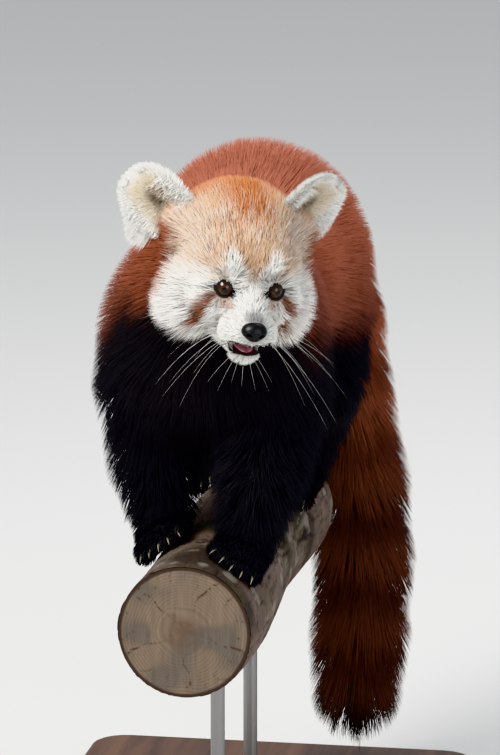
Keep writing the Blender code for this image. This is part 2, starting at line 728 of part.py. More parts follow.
def ear_fringe(name):
    """Locks of the ear's long hair, fanning out from its rim, longest low on the outer side."""
    root, length, up, face, side = ear_frame(name)
    made = []
    for along in (0.08, 0.3, 0.52, 0.74, 0.93):
        for across in (-1, 1):
            outer = (across > 0) == (np.dot(side, np.sign(root[0]) * np.array([1, 0, 0])) > 0)
            reach = (2.3 if outer else 1.5) - 0.8 * along
            away = HEAD_TURN @ unit(side * across * 0.9 + up * (0.9 * along - 0.1) - face * 0.25)
            start = ear_point(name, across * 0.7, along, -0.18)
            shares = [share for share, _ in LOCK_RINGS]
            lines = [(start[None] + away * reach * CM * share, (HEAD_TURN @ face)[None])
                     for share in shares]
            made.append(new_lock(lines, 0, 1.75 * CM, 0.26 * CM))
    return made


def new_lock(lines, index, width, thick):
    """A lock as an object whose faces point out."""
    lock = new_object("lock", *blade(lines, index, width, thick))
    if signed_volume(lock) < 0:
        lock.data.flip_normals()
    return lock


def tree_of(obj):
    return BVHTree.FromPolygons(coordinates(obj).tolist(), [tuple(f.vertices) for f in obj.data.polygons])


def lock_lines(roots, length):
    """Middles and outward ways of locks rising from the dense coat to its outer ends."""
    here, before = roots, 0.0
    lines = []
    for share, _ in LOCK_RINGS:
        lie = coat_at(here)[1]
        out = gradient(here, body_distance)
        along = lie - out * (lie * out).sum(1)[:, None]
        size = np.linalg.norm(along, axis=1, keepdims=True)
        along = np.where(size > 0.15, along / np.maximum(size, 1e-6), lie)
        here = here + along * (share - before) * length
        before = share
        for turn in range(3):
            depth = coat_at(here)[0]
            rise = CORE_SHARE + (1 - CORE_SHARE) * share ** 1.3
            target = rise * depth - LOCK_SINK * CM * (1 - share) ** 4
            out = gradient(here, body_distance)
            here = here + out * np.clip(target - body_distance(here), -0.01, 0.01)[:, None]
        lines.append((here, out))
    return lines


def lock_middles(lines, index):
    """A lock's middles, and the ways from each to the next."""
    middles = np.array([line[0][index] for line in lines])
    steps = np.diff(middles, axis=0)
    return middles, steps / np.linalg.norm(steps, axis=1, keepdims=True)


def crosses_itself(tree, faces):
    """Whether two faces that share no corner meet."""
    return any(not set(faces[a]) & set(faces[b]) for a, b in tree.overlap(tree))


def runs_straight(lines, index):
    """Whether a lock keeps its way, without a fold or a twist."""
    _, ways = lock_middles(lines, index)
    outs = np.array([line[1][index] for line in lines])
    return (ways[1:] * ways[:-1]).sum(1).min() > 0.6 and (outs[1:] * outs[:-1]).sum(1).min() > 0.6


def blade(lines, index, width, thick, grow=0.0):
    """A flat three-sided lock, broad at its root and tapered to one point."""
    vertices = []
    middles, ways = lock_middles(lines, index)
    for ring, (share, wide) in enumerate(LOCK_RINGS):
        centre, forward = middles[ring], ways[min(ring, len(ways) - 1)]
        up = unit(lines[ring][1][index] - forward * lines[ring][1][index].dot(forward))
        if wide == 0:
            vertices.append(centre + forward * grow)
            continue
        side = unit(np.cross(up, forward)) * (0.5 * width * wide + grow)
        rise = up * (thick * (0.45 + 0.55 * wide) * 0.5 + grow)
        vertices += [centre - side - rise * 0.6, centre + side - rise * 0.6, centre + rise]
    faces = [(0, 1, 2)]
    rings = len(LOCK_RINGS) - 1
    for ring in range(rings - 1):
        for corner in range(3):
            a, b = ring * 3 + corner, ring * 3 + (corner + 1) % 3
            faces += [(a, a + 3, b), (b, a + 3, b + 3)]
    last = (rings - 1) * 3
    faces += [(last + corner, last + 3, last + (corner + 1) % 3) for corner in range(3)]
    return vertices, faces


def spread_roots(obj, spacing, least_coat, rng):
    """Places on the outer face of a node's dense coat, no two closer than spacing."""
    points = coordinates(obj)
    triangles = np.array([tuple(f.vertices) for f in obj.data.polygons])
    corners = points[triangles]
    area = np.linalg.norm(np.cross(corners[:, 1] - corners[:, 0], corners[:, 2] - corners[:, 0]), axis=1)
    picked = corners[rng.choice(len(area), ROOT_TRIES, p=area / area.sum())]
    mix = rng.dirichlet((1, 1, 1), ROOT_TRIES)
    places = (picked * mix[:, :, None]).sum(1)
    depth = coat_at(places)[0]
    outer = body_distance(places) > CORE_SHARE * depth - 0.25 * CM
    places = places[outer & (depth > least_coat * CM)]
    kept = []
    for place in places:
        if not kept or np.linalg.norm(np.array(kept) - place, axis=1).min() > spacing:
            kept.append(place)
    return np.array(kept)


def union_all(obj, pieces):
    """Fuses pieces and an object into one solid."""
    group = bpy.data.collections.new("pieces")
    for piece in pieces:
        group.objects.link(piece)
    modifier = obj.modifiers.new("union", "BOOLEAN")
    modifier.operation = "UNION"
    modifier.operand_type = "COLLECTION"
    modifier.solver = "EXACT"
    modifier.collection = group
    apply_modifiers(obj)
    bpy.data.collections.remove(group)
    remove(*pieces)
    return keep_largest(obj)


def open_edges(obj):
    """Middles of the edges that don't have two faces, where a fused solid touches itself."""
    counts = {}
    for face in obj.data.polygons:
        for key in face.edge_keys:
            counts[key] = counts.get(key, 0) + 1
    points = coordinates(obj)
    return [(points[a] + points[b]) / 2 for (a, b), count in counts.items() if count != 2]


def grow_locks(name, nodes, rng):
    """Lays locks over a node, leaving out one at a time while the fused solid touches itself."""
    others = [tree_of(obj) for other, obj in nodes.items() if other != name]
    locks = locks_for(name, nodes[name], others, rng)
    while True:
        made = union_all(copy_of(nodes[name]), [copy_of(lock) for lock in locks])
        faults = open_edges(made)
        if not faults or not locks:
            break
        trees = [tree_of(lock) for lock in locks]
        votes = [sum(tree.find_nearest(Vector(fault))[3] < 1e-5 for fault in faults) for tree in trees]
        remove(made, locks.pop(int(np.argmax(votes))))
    remove(nodes[name], *locks)
    nodes[name] = made


def locks_for(name, core, others, rng):
    """A node's locks, each as long as its neighbours leave room for."""
    spacing, length, thick, least_coat = LOCKS[name]
    roots = spread_roots(core, spacing * CM, least_coat, rng)
    tries = [lock_lines(roots, length * CM * share) for share in (1.0, 0.75, 0.5)]
    pieces = []
    for index in range(len(roots)):
        width = spacing * CM * rng.uniform(0.75, 0.95)
        for lines in tries:
            if not runs_straight(lines, index):
                continue
            vertices, faces = blade(lines, index, width, thick * CM, LOCK_CLEARANCE)
            grown = BVHTree.FromPolygons([v.tolist() for v in vertices], faces)
            if crosses_itself(grown, faces):
                continue
            if not any(grown.overlap(tree) for tree in others):
                pieces.append(new_lock(lines, index, width, thick * CM))
                break
    return pieces


def signed_volume(obj):
    points = coordinates(obj)
    triangles = np.array([tuple(f.vertices) for f in obj.data.polygons])
    a, b, c = points[triangles[:, 0]], points[triangles[:, 1]], points[triangles[:, 2]]
    return (a * np.cross(b, c)).sum() / 6


def paint(obj, colour, roughness, metallic=0.0):
    material = bpy.data.materials.new(obj.name)
    material.use_nodes = True
    shader = material.node_tree.nodes["Principled BSDF"]
    shader.inputs["Base Color"].default_value = (*colour, 1)
    shader.inputs["Roughness"].default_value = roughness
    shader.inputs["Metallic"].default_value = metallic
    obj.data.materials.clear()
    obj.data.materials.append(material)
    obj.data.shade_smooth()
    obj.data.set_sharp_from_angle(angle=math.radians(35))


RUST, BLACK, WHITE, PALE = (0.30, 0.085, 0.035), (0.012, 0.012, 0.016), (0.80, 0.77, 0.70), (0.55, 0.33, 0.17)
COLOURS = {
    "torso": (RUST, 0.8), "neck": (RUST, 0.8), "head": (PALE, 0.8), "tail": (RUST, 0.8),
    "leg": (BLACK, 0.75), "paw": (BLACK, 0.75), "ear": (WHITE, 0.8), "eye": ((0.03, 0.015, 0.01), 0.08),
    "nose": ((0.015, 0.014, 0.016), 0.3), "tongue": ((0.55, 0.16, 0.18), 0.35),
    "perch": ((0.25, 0.19, 0.14), 0.85), "base": ((0.10, 0.065, 0.045), 0.45),
    "rod": ((0.6, 0.58, 0.55), 0.3),
}


def part_body():
    """The trunk, legs and tail, parted where each grows from the next."""
    flesh = [part for part in FLESH if "paw" not in part]
    whole = level_solid("whole", flesh, body_distance, core_offset, *FORMS["body"])
    head_cell = cut_cell("head_cell", on_head(*HEAD_CUT["place"]), HEAD_TURN @ unit(HEAD_CUT["back"]))
    neck_cell = cut_cell("neck_cell", at(*NECK_CUT["place"]), unit(NECK_CUT["back"]))
    nodes, cells = {}, [("head", head_cell), ("neck", neck_cell)]
    for limb in ("foreleg_left", "foreleg_right", "hindleg_left", "hindleg_right", "tail"):
        cells.append((limb, part_cell(limb)))
    for name, cell in cells:
        nodes[name] = copy_of(whole)
        nodes[name].name = name
        boolean(nodes[name], cell, "INTERSECT")
        keep_largest(nodes[name])
        grown = copy_of(cell, GAP)
        boolean(whole, grown, "DIFFERENCE")
        keep_largest(whole)
        remove(grown)
    whole.name = "torso"
    nodes["torso"] = whole
    bend = cut_cell("bend_cell", at(*TAIL_BEND), np.array([0, 0, -1.0]))
    nodes["tail_root"] = copy_of(nodes["tail"])
    keep_largest(boolean(nodes["tail_root"], bend, "INTERSECT"))
    clear_of(nodes["tail"], bend)
    remove(bend)
    return nodes, dict(cells)


def main():
    for obj in list(bpy.data.objects):
        bpy.data.objects.remove(obj)
    nodes, cells = part_body()
    remove(nodes.pop("head"))
    head = level_solid("head_fine", ["head", "neck"], body_distance, core_offset, *FORMS["head"])
    boolean(head, cells["head"], "INTERSECT")
    keep_largest(head)
    head.name = "head"
    nodes["head"] = head
    for name, side in (("left", 1), ("right", -1)):
        nodes["eye_" + name] = solid_ball("eye_" + name, eye_centre(side), (EYE_RADIUS,) * 3, eye_turn(side))
    set_eyes(head, (nodes["eye_left"], nodes["eye_right"]))
    open_mouth(head)
    keep_largest(head)
    nodes["tongue"] = tongue(head)
    nodes["nose_pad"] = nose_pad(head)
    rng = np.random.default_rng(SEED)
    grow_locks("head", nodes, rng)
    head = nodes["head"]
    for name in EARS:
        nodes["ear_" + name] = clear_of(union_all(ear(name), ear_fringe(name)), head)
    branch = perch()
    knot = perch_knot()
    boolean(branch, knot, "UNION")
    remove(knot)
    nodes["perch_branch"] = branch
    for pair, places in (("fore", FRONT_PAWS), ("hind", HIND_PAWS)):
        long = PAW_LENGTHS[pair]
        for name, side in (("left", 1), ("right", -1)):
            leg, paw = pair + "leg_" + name, pair + "paw_" + name
            cell = paw_cell(side, places[name], long)
            made = level_solid(paw, [leg, paw], body_distance, core_offset, *FORMS["paw"])
            boolean(made, cell, "INTERSECT")
            union_all(keep_largest(made), claws(side, places[name], long))
            nodes[paw] = clear_of(made, branch)
            grown = copy_of(cell, GAP)
            boolean(nodes[leg], grown, "DIFFERENCE")
            keep_largest(nodes[leg])
            remove(cell, grown)
    for cell in cells.values():
        remove(cell)
    for name in LOCKS:
        if name != "head":
            grow_locks(name, nodes, rng)
    nodes["stand_base"] = stand_base()
    for name, y in zip(("front", "back"), ROD_PLACES):
        nodes["stand_rod_" + name] = clear_of(stand_rod("stand_rod_" + name, y), branch)
    for name, obj in nodes.items():
        obj.name = name
        colour, roughness = next(v for k, v in COLOURS.items() if k in name)
        paint(obj, colour, roughness, 1.0 if "rod" in name else 0.0)


if __name__ == "__main__":
    main()
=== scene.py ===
"""Looks of the life-size red panda: one skin, its coat in fine tufts, face, perch, stand and light.

Lengths of the animal are in centimetres from its front feet and the perch's top, as named below.
"""
import itertools
import math

import bmesh
import bpy
import numpy as np
from mathutils import Matrix, Vector
from mathutils.kdtree import KDTree


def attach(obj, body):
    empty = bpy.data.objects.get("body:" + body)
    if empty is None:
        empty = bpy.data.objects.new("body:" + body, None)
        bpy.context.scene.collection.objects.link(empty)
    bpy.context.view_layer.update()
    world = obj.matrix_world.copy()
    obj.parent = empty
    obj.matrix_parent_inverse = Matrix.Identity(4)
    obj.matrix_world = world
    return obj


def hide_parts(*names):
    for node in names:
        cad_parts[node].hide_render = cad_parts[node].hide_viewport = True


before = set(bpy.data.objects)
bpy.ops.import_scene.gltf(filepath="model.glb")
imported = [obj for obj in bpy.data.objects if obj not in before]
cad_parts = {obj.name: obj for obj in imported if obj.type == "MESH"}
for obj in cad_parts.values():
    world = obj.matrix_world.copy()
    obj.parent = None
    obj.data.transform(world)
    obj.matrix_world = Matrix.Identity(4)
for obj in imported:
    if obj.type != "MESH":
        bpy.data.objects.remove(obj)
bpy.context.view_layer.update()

# In metres, but the perch's ends are in centimetres from the front feet
CM = 0.01
PERCH_TOP = 0.310
PERCH_RADIUS = 0.053
PERCH_ENDS = (-13.5, 27.6)
FRONT_FEET_Y = -0.11

# The head and eyes, then the feet, in centimetres and degrees
HEAD_CENTRE = (3.7, -10.0, 23.3)
HEAD_YAW, HEAD_PITCH, HEAD_ROLL = 22.5, 12.0, 6.5
EYE_PLACE, EYE_RADIUS = (1.97, -4.05, 0.46), 0.80
EYE_AIM = (0.26, -0.96, 0.03)
STANCE = 3.8
PAW_LENGTHS = {"fore": 2.7, "hind": 3.9}
SIDES = {"left": 1, "right": -1}
FRONT_PAWS = {"left": -7.4, "right": -2.4}
HIND_PAWS = {"left": 18.5, "right": 22.0}

# How softly the muscles of a part run together, and parts into the trunk, in centimetres
BLEND = {"torso": 2.5, "neck": 1.5, "head": 0.8, "leg": 1.1, "paw": 0.3, "tail": 1.0}
JOIN = {"neck": 2.4, "head": 1.5, "tail": 1.6, "leg": 1.8}
COAT_BLEND = 0.7  # and how softly their coats do

# The camera, as the photograph shows the animal
VIEW_AZIMUTH, VIEW_ELEVATION = 10.0, 13.0
VIEW_DISTANCE = 5.0
PHOTO_SIZE = (500, 755)
PIXELS_PER_METRE = 1260.0  # at the head
HEAD_PIXEL = (235.9, 271.7)
HEAD_MIDDLE = (3.6, -10.0, 23.4)  # what that pixel shows

# Tufts for each square centimetre of skin, by region
DENSITY = {"face": 92.0, "body": 30.0, "leg": 23.0, "paw": 46.0, "tail": 42.0}


def at(x, y, z):
    """A place in metres from centimetres left of the middle, behind the front feet, above the perch."""
    return np.array([x * CM, y * CM + FRONT_FEET_Y, z * CM + PERCH_TOP])


def head_turn():
    """The head's axes as columns, for its own frame of left, back and up."""
    yaw, pitch, roll = (math.radians(a) for a in (HEAD_YAW, HEAD_PITCH, HEAD_ROLL))
    turn = Matrix.Rotation(yaw, 3, "Z") @ Matrix.Rotation(pitch, 3, "X") @ Matrix.Rotation(roll, 3, "Y")
    return np.array(turn)


HEAD_TURN = head_turn()


def on_head(x, y, z):
    """A place in metres from centimetres in the head's own frame."""
    return at(*HEAD_CENTRE) + HEAD_TURN @ (np.array([x, y, z]) * CM)


def on_heads(local):
    """The same for many places, one in each row."""
    return at(*HEAD_CENTRE) + local @ HEAD_TURN.T * CM


def to_head(points):
    """Places in the head's own frame, in centimetres."""
    return (points - at(*HEAD_CENTRE)) @ HEAD_TURN / CM


def to_panda(points):
    """Places in centimetres from the front feet and the perch's top."""
    return (points - at(0, 0, 0)) / CM


def unit(vector):
    vector = np.asarray(vector, float)
    return vector / np.linalg.norm(vector)


def units(vectors):
    return vectors / np.maximum(np.linalg.norm(vectors, axis=-1, keepdims=True), 1e-12)


def ball(centre, radii, coat, lie, turn=None):
    """An ellipsoid of flesh. Radii and coat are in centimetres, and lie is the way its hair points."""
    return {"kind": "ball", "centre": centre, "radii": np.array(radii) * CM, "coat": coat * CM,
            "lie": unit(lie), "turn": np.eye(3) if turn is None else turn}


def bone(start, end, radii, coat, lie):
    """A tube of flesh with round ends, from one radius to another, in centimetres."""
    return {"kind": "bone", "start": start, "end": end, "radii": np.array(radii) * CM,
            "coat": coat * CM, "lie": unit(lie)}


def head_ball(centre, radii, coat, lie):
    return ball(on_head(*centre), radii, coat, HEAD_TURN @ unit(lie), HEAD_TURN)


def head_bone(start, end, radii, coat, lie):
    return bone(on_head(*start), on_head(*end), radii, coat, HEAD_TURN @ unit(lie))


def torso_flesh():
    return [
        ball(at(0, 1.0, 16.6), (6.2, 7.4, 6.7), 2.9, (0, 0.75, -0.65)),
        ball(at(-0.1, 12.0, 17.8), (6.2, 10.5, 6.7), 3.0, (0, 1, -0.35)),
        ball(at(-0.2, 21.5, 18.2), (6.6, 8.2, 6.9), 3.1, (0, 0.9, -0.45)),
    ]


def neck_flesh():
    return [bone(at(0.8, -1.5, 19.6), at(2.9, -7.2, 22.2), (5.1, 4.5), 2.6, (-0.1, 0.8, -0.6))]


def head_flesh():
    flesh = [
        head_ball((0, 1.7, 2.1), (4.6, 4.5, 4.1), 1.1, (0, 1, 0.15)),
        head_ball((0, -1.5, 1.5), (3.7, 2.9, 3.0), 0.8, (0, 0.7, 0.7)),
        head_ball((0, -0.8, -0.9), (4.4, 3.6, 3.3), 1.6, (0, 0.9, -0.4)),
        head_bone((0, -3.4, -1.4), (0, -6.25, -2.3), (2.4, 1.45), 0.3, (0, 1, 0)),
        head_bone((0, -3.6, -0.15), (0, -7.05, -1.5), (1.55, 0.85), 0.25, (0, 0.9, 0.4)),
        head_bone((0, -2.4, -3.0), (0, -5.5, -3.7), (2.3, 1.3), 0.5, (0, 0.9, -0.4)),
    ]
    for side in (1, -1):
        flesh += [
            head_ball((3.1 * side, -0.5, -1.9), (1.8, 2.5, 2.2), 2.1, (0.85 * side, 0.5, -0.35)),
            head_ball((4.1 * side, 1.8, 2.7), (1.5, 1.5, 1.7), 1.0, (0.8 * side, 0.5, 0.3)),
            head_ball((1.6 * side, -3.6, 2.1), (1.1, 1.0, 0.85), 0.4, (0.2 * side, 0.6, 0.8)),
            head_ball((2.3 * side, -3.5, -0.7), (1.5, 1.3, 1.2), 0.5, (0.8 * side, 0.6, -0.2)),
            head_ball((1.0 * side, -5.9, -2.5), (1.15, 1.3, 1.0), 0.25, (0.5 * side, 0.8, -0.3)),
        ]
    return flesh


def paw_turn(side):
    """A paw lies on the shoulder of the branch: its axes across, along and out of the bark."""
    lean = math.asin(STANCE * CM / (PERCH_RADIUS + 1.2 * CM))
    return np.array(Matrix.Rotation(side * lean, 3, "Y"))


def on_paw(side, y, across, along, out):
    """A place on a paw: across it, along the branch and out from the bark, in centimetres."""
    axis = at(0, y, 0) - np.array([0, 0, PERCH_RADIUS])
    return axis + paw_turn(side) @ np.array([across * CM, along * CM, PERCH_RADIUS + out * CM])


def toe_tip(side, y, long, toe):
    reach = long * (0.98 - 0.05 * toe * toe)
    return on_paw(side, y, toe * 0.86, -reach - 0.35, 0.62)


def paw_flesh(side, y, wide, long, hind):
    """The sole and five toes, set fanwise round the branch."""
    lie = (0, -0.8, -0.5)
    flesh = [ball(on_paw(side, y, 0, 0, 1.15), (wide, long, 1.25), 0.6, lie, paw_turn(side))]
    for toe in range(-2, 3):
        root = on_paw(side, y, toe * 0.62, -0.35 * long, 1.25)
        flesh.append(bone(root, toe_tip(side, y, long, toe), (0.66, 0.56 if hind else 0.58), 0.45, lie))
    return flesh


def foreleg_flesh(side, y):
    """Shoulder, upper arm and forearm of one side, down to the wrist above the paw."""
    shoulder, elbow = at(5.2 * side, 0.6 + 0.15 * y, 11.0), at(4.6 * side, y + 2.0, 4.6)
    return [
        ball(at(4.5 * side, 0.3, 14.0), (2.8, 4.2, 5.2), 2.4, (0, 0.35, -0.9)),
        bone(shoulder, elbow, (2.7, 2.0), 2.3, (0, 0.3, -1)),
        bone(elbow, at(4.1 * side, y + 0.8, 1.3), (1.8, 1.5), 1.1, (0, 0.1, -1)),
    ]


def hindleg_flesh(side, y):
    """Thigh, shank and hock of one side, down to the heel above the flat foot."""
    knee, hock = at(5.6 * side, y - 2.5, 9.0), at(4.7 * side, y + 3.2, 4.6)
    return [
        ball(at(4.4 * side, 0.6 * y + 9.6, 14.0), (2.9, 5.2, 5.6), 2.5, (0, 0.4, -0.9)),
        bone(at(5.2 * side, y, 12.5), knee, (3.2, 2.6), 2.2, (0, 0.3, -1)),
        bone(knee, hock, (2.4, 1.7), 1.9, (0, 0.5, -0.9)),
        bone(hock, at(4.1 * side, y + 2.6, 1.3), (1.6, 1.4), 1.2, (0, 0, -1)),
    ]


# The tail's middle line in centimetres, with the flesh's radius and the coat's depth there
TAIL_LINE = [
    ((0.8, 26.5, 19.2), 2.4, 2.6), ((1.8, 30.6, 18.8), 2.1, 2.5), ((3.4, 33.2, 15.6), 1.9, 2.6),
    ((4.6, 33.6, 10.5), 1.7, 2.8), ((5.4, 33.2, 4.3), 1.6, 3.0), ((6.8, 33.0, -4.0), 1.5, 3.2),
    ((7.2, 33.0, -11.0), 1.4, 3.4), ((6.9, 33.0, -18.0), 1.2, 3.4), ((6.6, 33.0, -23.2), 0.9, 3.1),
]


def tail_flesh():
    return [bone(at(*start), at(*end), (first, second), coat, np.subtract(end, start))
            for (start, first, coat), (end, second, _) in zip(TAIL_LINE, TAIL_LINE[1:])]


def all_flesh():
    """Every part's muscles, by name."""
    parts = {"torso": torso_flesh(), "neck": neck_flesh(), "head": head_flesh(), "tail": tail_flesh()}
    for name, side in SIDES.items():
        front, hind = FRONT_PAWS[name], HIND_PAWS[name]
        parts["foreleg_" + name] = foreleg_flesh(side, front)
        parts["forepaw_" + name] = paw_flesh(side, front, 2.0, PAW_LENGTHS["fore"], False)
        parts["hindleg_" + name] = hindleg_flesh(side, hind)
        parts["hindpaw_" + name] = paw_flesh(side, hind, 1.9, PAW_LENGTHS["hind"], True)
    return parts


FLESH = all_flesh()


def flesh_distance(points, muscle):
    """How far outside a muscle the points are, negative inside."""
    if muscle["kind"] == "ball":
        local = (points - muscle["centre"]) @ muscle["turn"]
        near = np.linalg.norm(local / muscle["radii"], axis=1)
        slope = np.linalg.norm(local / muscle["radii"] ** 2, axis=1)
        return near * (near - 1) / np.maximum(slope, 1e-9)
    axis = muscle["end"] - muscle["start"]
    length = np.linalg.norm(axis)
    axis = axis / length
    first, second = muscle["radii"]
    rise = (first - second) / length
    along = (points - muscle["start"]) @ axis
    across = np.sqrt(np.maximum(((points - muscle["start"]) ** 2).sum(1) - along ** 2, 0))
    lean = math.sqrt(max(1 - rise * rise, 1e-6))
    foot = along + across * rise / lean
    share = np.clip(foot / length, 0, 1)
    return np.hypot(across, along - share * length) - (first + (second - first) * share)


def soft_min(a, b, width):
    """The smaller of two distances, rounded where they are closer than width."""
    near = np.maximum(width - np.abs(a - b), 0) / width
    return np.minimum(a, b) - near * near * width / 4


def part_distance(points, part):
    """How far outside one part's muscles the points are."""
    kind = next((k for k in BLEND if k in part), "torso")
    width = BLEND[kind] * CM
    found = None
    for muscle in FLESH[part]:
        this = flesh_distance(points, muscle)
        found = this if found is None else soft_min(found, this, width)
    return found


def body_distance(points):
    """The whole body's skin, fused: trunk, head and tail, with each leg grown from the trunk."""
    trunk = part_distance(points, "torso")
    for part in ("neck", "head", "tail"):
        trunk = soft_min(trunk, part_distance(points, part), JOIN[part] * CM)
    body = trunk
    for pair in ("fore", "hind"):
        for side in ("left", "right"):
            leg = part_distance(points, pair + "leg_" + side)
            leg = soft_min(leg, part_distance(points, pair + "paw_" + side), 0.9 * CM)
            body = np.minimum(body, soft_min(trunk, leg, JOIN["leg"] * CM))
    return body


def muscle_weights(points):
    """How much each part's nearest muscles count at each point, with coat depth and lie."""
    names = [part for part, flesh in FLESH.items() for _ in flesh]
    muscles = [m for flesh in FLESH.values() for m in flesh]
    distances = np.array([flesh_distance(points, m) for m in muscles])
    weight = np.exp(-(distances - distances.min(0)) / (COAT_BLEND * CM))
    weight /= weight.sum(0)
    depth = np.array([m["coat"] for m in muscles]) @ weight
    lie = weight.T @ np.array([m["lie"] for m in muscles])
    parts = {part: weight[[n == part for n in names]].sum(0) for part in FLESH}
    return depth, lie, parts


def outwards(points, step=0.0005):
    """Which way leads straight out of the body, by differences."""
    sides = [(body_distance(points + axis) - body_distance(points - axis)) / (2 * step)
             for axis in np.eye(3) * step]
    return units(np.stack(sides, 1))


def smooth(value, low, high):
    """0 below low and 1 above high, with a soft step between them."""
    share = np.clip((value - low) / (high - low), 0, 1)
    return share * share * (3 - 2 * share)


def fade(value, low, high):
    """1 below low and 0 above high."""
    return 1 - smooth(value, low, high)


def hump(value, width):
    """1 at zero, falling away to each side over a width."""
    return np.exp(-(value / width) ** 2)


def lattice(points, seed):
    """A fixed random number for each whole-numbered place."""
    whole = np.floor(points).astype(np.int64)
    mixed = whole[:, 0] * 374761393 + whole[:, 1] * 668265263 + whole[:, 2] * 1274126177 + seed * 1442695041
    mixed = (mixed ^ (mixed >> 13)) * 1274126177
    return ((mixed ^ (mixed >> 16)) & 0xFFFFFF) / 0xFFFFFF


def noise(points, size, seed):
    """Soft random values from 0 to 1 that change over size centimetres."""
    places = points / (size * CM)
    base = np.floor(places)
    part = places - base
    part = part * part * (3 - 2 * part)
    total = np.zeros(len(points))
    for corner in np.ndindex(2, 2, 2):
        weight = np.prod(np.where(np.array(corner), part, 1 - part), axis=1)
        total += weight * lattice(base + corner, seed)
    return total


def ragged(points, *grains):
    """Soft noise about zero, summed over grains of a size, a seed and a strength."""
    return sum((noise(points, size, seed) - 0.5) * strength for size, seed, strength in grains)


def eye_centre(side):
    x, y, z = EYE_PLACE
    return on_head(x * side, y, z)


def eye_turn(side):
    """The eye's axes: across, up the face, and out through the pupil."""
    x, y, z = EYE_AIM
    out = HEAD_TURN @ unit((x * side, y, z))
    across = unit(np.cross(HEAD_TURN[:, 2], out))
    return np.stack([across, np.cross(out, across), out], 1)


# Meshes

def add_object(name, data):
    obj = bpy.data.objects.new(name, data)
    bpy.context.scene.collection.objects.link(obj)
    return obj


def mesh_object(name, points, faces, colours, normals=None):
    """A new object from points and from triangles or quads, with one colour or one for each point."""
    mesh = bpy.data.meshes.new(name)
    mesh.vertices.add(len(points))
    mesh.vertices.foreach_set("co", np.asarray(points, np.float32).ravel())
    faces = np.asarray(faces, np.int32)
    mesh.loops.add(faces.size)
    mesh.loops.foreach_set("vertex_index", faces.ravel())
    mesh.polygons.add(len(faces))
    mesh.polygons.foreach_set("loop_start", np.arange(0, faces.size, faces.shape[1], dtype=np.int32))
    mesh.update(calc_edges=True)
    mesh.shade_smooth()
    add_colours(mesh, colours)
    if normals is not None:
        mesh.normals_split_custom_set_from_vertices(normals.astype(np.float32))
    return add_object(name, mesh)


def add_colours(mesh, colours):
    """Stores linear colours at the points, under the name Tint."""
    layer = mesh.color_attributes.new("Tint", "FLOAT_COLOR", "POINT")
    full = np.ones((len(mesh.vertices), 4), np.float32)
    full[:, :3] = colours
    layer.data.foreach_set("color", full.ravel())


def add_bake_map(mesh, places):
    """Stores a flat place for each corner of the faces."""
    layer = mesh.uv_layers.new(name="OFBake")
    layer.data.foreach_set("uv", places.astype(np.float32).ravel())


def object_from_bmesh(name, bm):
    mesh = bpy.data.meshes.new(name)
    bm.to_mesh(mesh)
    bm.free()
    return add_object(name, mesh)


def close_mesh(obj, sides=0):
    """Turns the faces outwards, after it fills the holes of so many sides."""
    bm = bmesh.new()
    bm.from_mesh(obj.data)
    if sides:
        bmesh.ops.holes_fill(bm, edges=[e for e in bm.edges if e.is_boundary], sides=sides)
    bmesh.ops.recalc_face_normals(bm, faces=bm.faces)
    bm.to_mesh(obj.data)
    bm.free()
    obj.data.shade_smooth()
    return obj


def coordinates(obj, what="co"):
    """The points of a mesh, or with "normal" the way its surface faces at them."""
    found = np.empty(len(obj.data.vertices) * 3)
    obj.data.vertices.foreach_get(what, found)
    return found.reshape(-1, 3)


def set_coordinates(obj, points):
    obj.data.vertices.foreach_set("co", points.astype(np.float32).ravel())
    obj.data.update()


def triangles_of(obj, what="vertices"):
    """The points of each triangle of a mesh, or with "loops" its corners."""
    obj.data.calc_loop_triangles()
    found = np.empty(len(obj.data.loop_triangles) * 3, np.int32)
    obj.data.loop_triangles.foreach_get(what, found)
    return found.reshape(-1, 3)


def facing(shape):
    """The way that triangles face, as long as twice their area."""
    return np.cross(shape[:, 1] - shape[:, 0], shape[:, 2] - shape[:, 0])


def tube_grid(rings, sides):
    """Share of the way along, angle and faces for a tube's points, ring by ring."""
    ring, turn = np.meshgrid(np.arange(rings + 1), np.arange(sides), indexing="ij")
    grid = ring * sides + turn
    after = np.roll(grid, -1, axis=1)
    faces = np.stack([grid[:-1], after[:-1], after[1:], grid[1:]], -1).reshape(-1, 4)
    return ring.ravel() / rings, 2 * math.pi * turn.ravel() / sides, faces


def add_tube(points, faces, rings, sides):
    """Adds an open tube to lists, from each ring's middle, half-width across, half-width up and size."""
    for step, (middle, across, up, size) in enumerate(rings):
        base = len(points)
        for corner in range(sides):
            angle = 2 * math.pi * corner / sides
            points.append(middle + (across * math.cos(angle) + up * math.sin(angle)) * size)
            a, b = base + corner, base + (corner + 1) % sides
            if step:
                faces.append((a - sides, b - sides, b, a))


def apply_modifiers(obj):
    """Makes the evaluated mesh the object's own."""
    bpy.context.view_layer.update()
    graph = bpy.context.evaluated_depsgraph_get()
    mesh = bpy.data.meshes.new_from_object(obj.evaluated_get(graph))
    obj.modifiers.clear()
    obj.data = mesh


def relax(obj, points, share):
    """Moves each vertex part of the way to its neighbours' middle."""
    edges = np.empty(len(obj.data.edges) * 2, int)
    obj.data.edges.foreach_get("vertices", edges)
    edges = edges.reshape(-1, 2)
    total, count = np.zeros_like(points), np.zeros(len(points))
    for a, b in ((0, 1), (1, 0)):
        np.add.at(total, edges[:, a], points[edges[:, b]])
        np.add.at(count, edges[:, a], 1)
    return points + share * (total / count[:, None] - points)


def even_directions(count):
    """Directions spread evenly over a sphere."""
    turn = np.arange(count) * math.pi * (3 - math.sqrt(5))
    height = 1 - (2 * np.arange(count) + 1) / count
    across = np.sqrt(1 - height * height)
    return np.stack([across * np.cos(turn), across * np.sin(turn), height], 1)


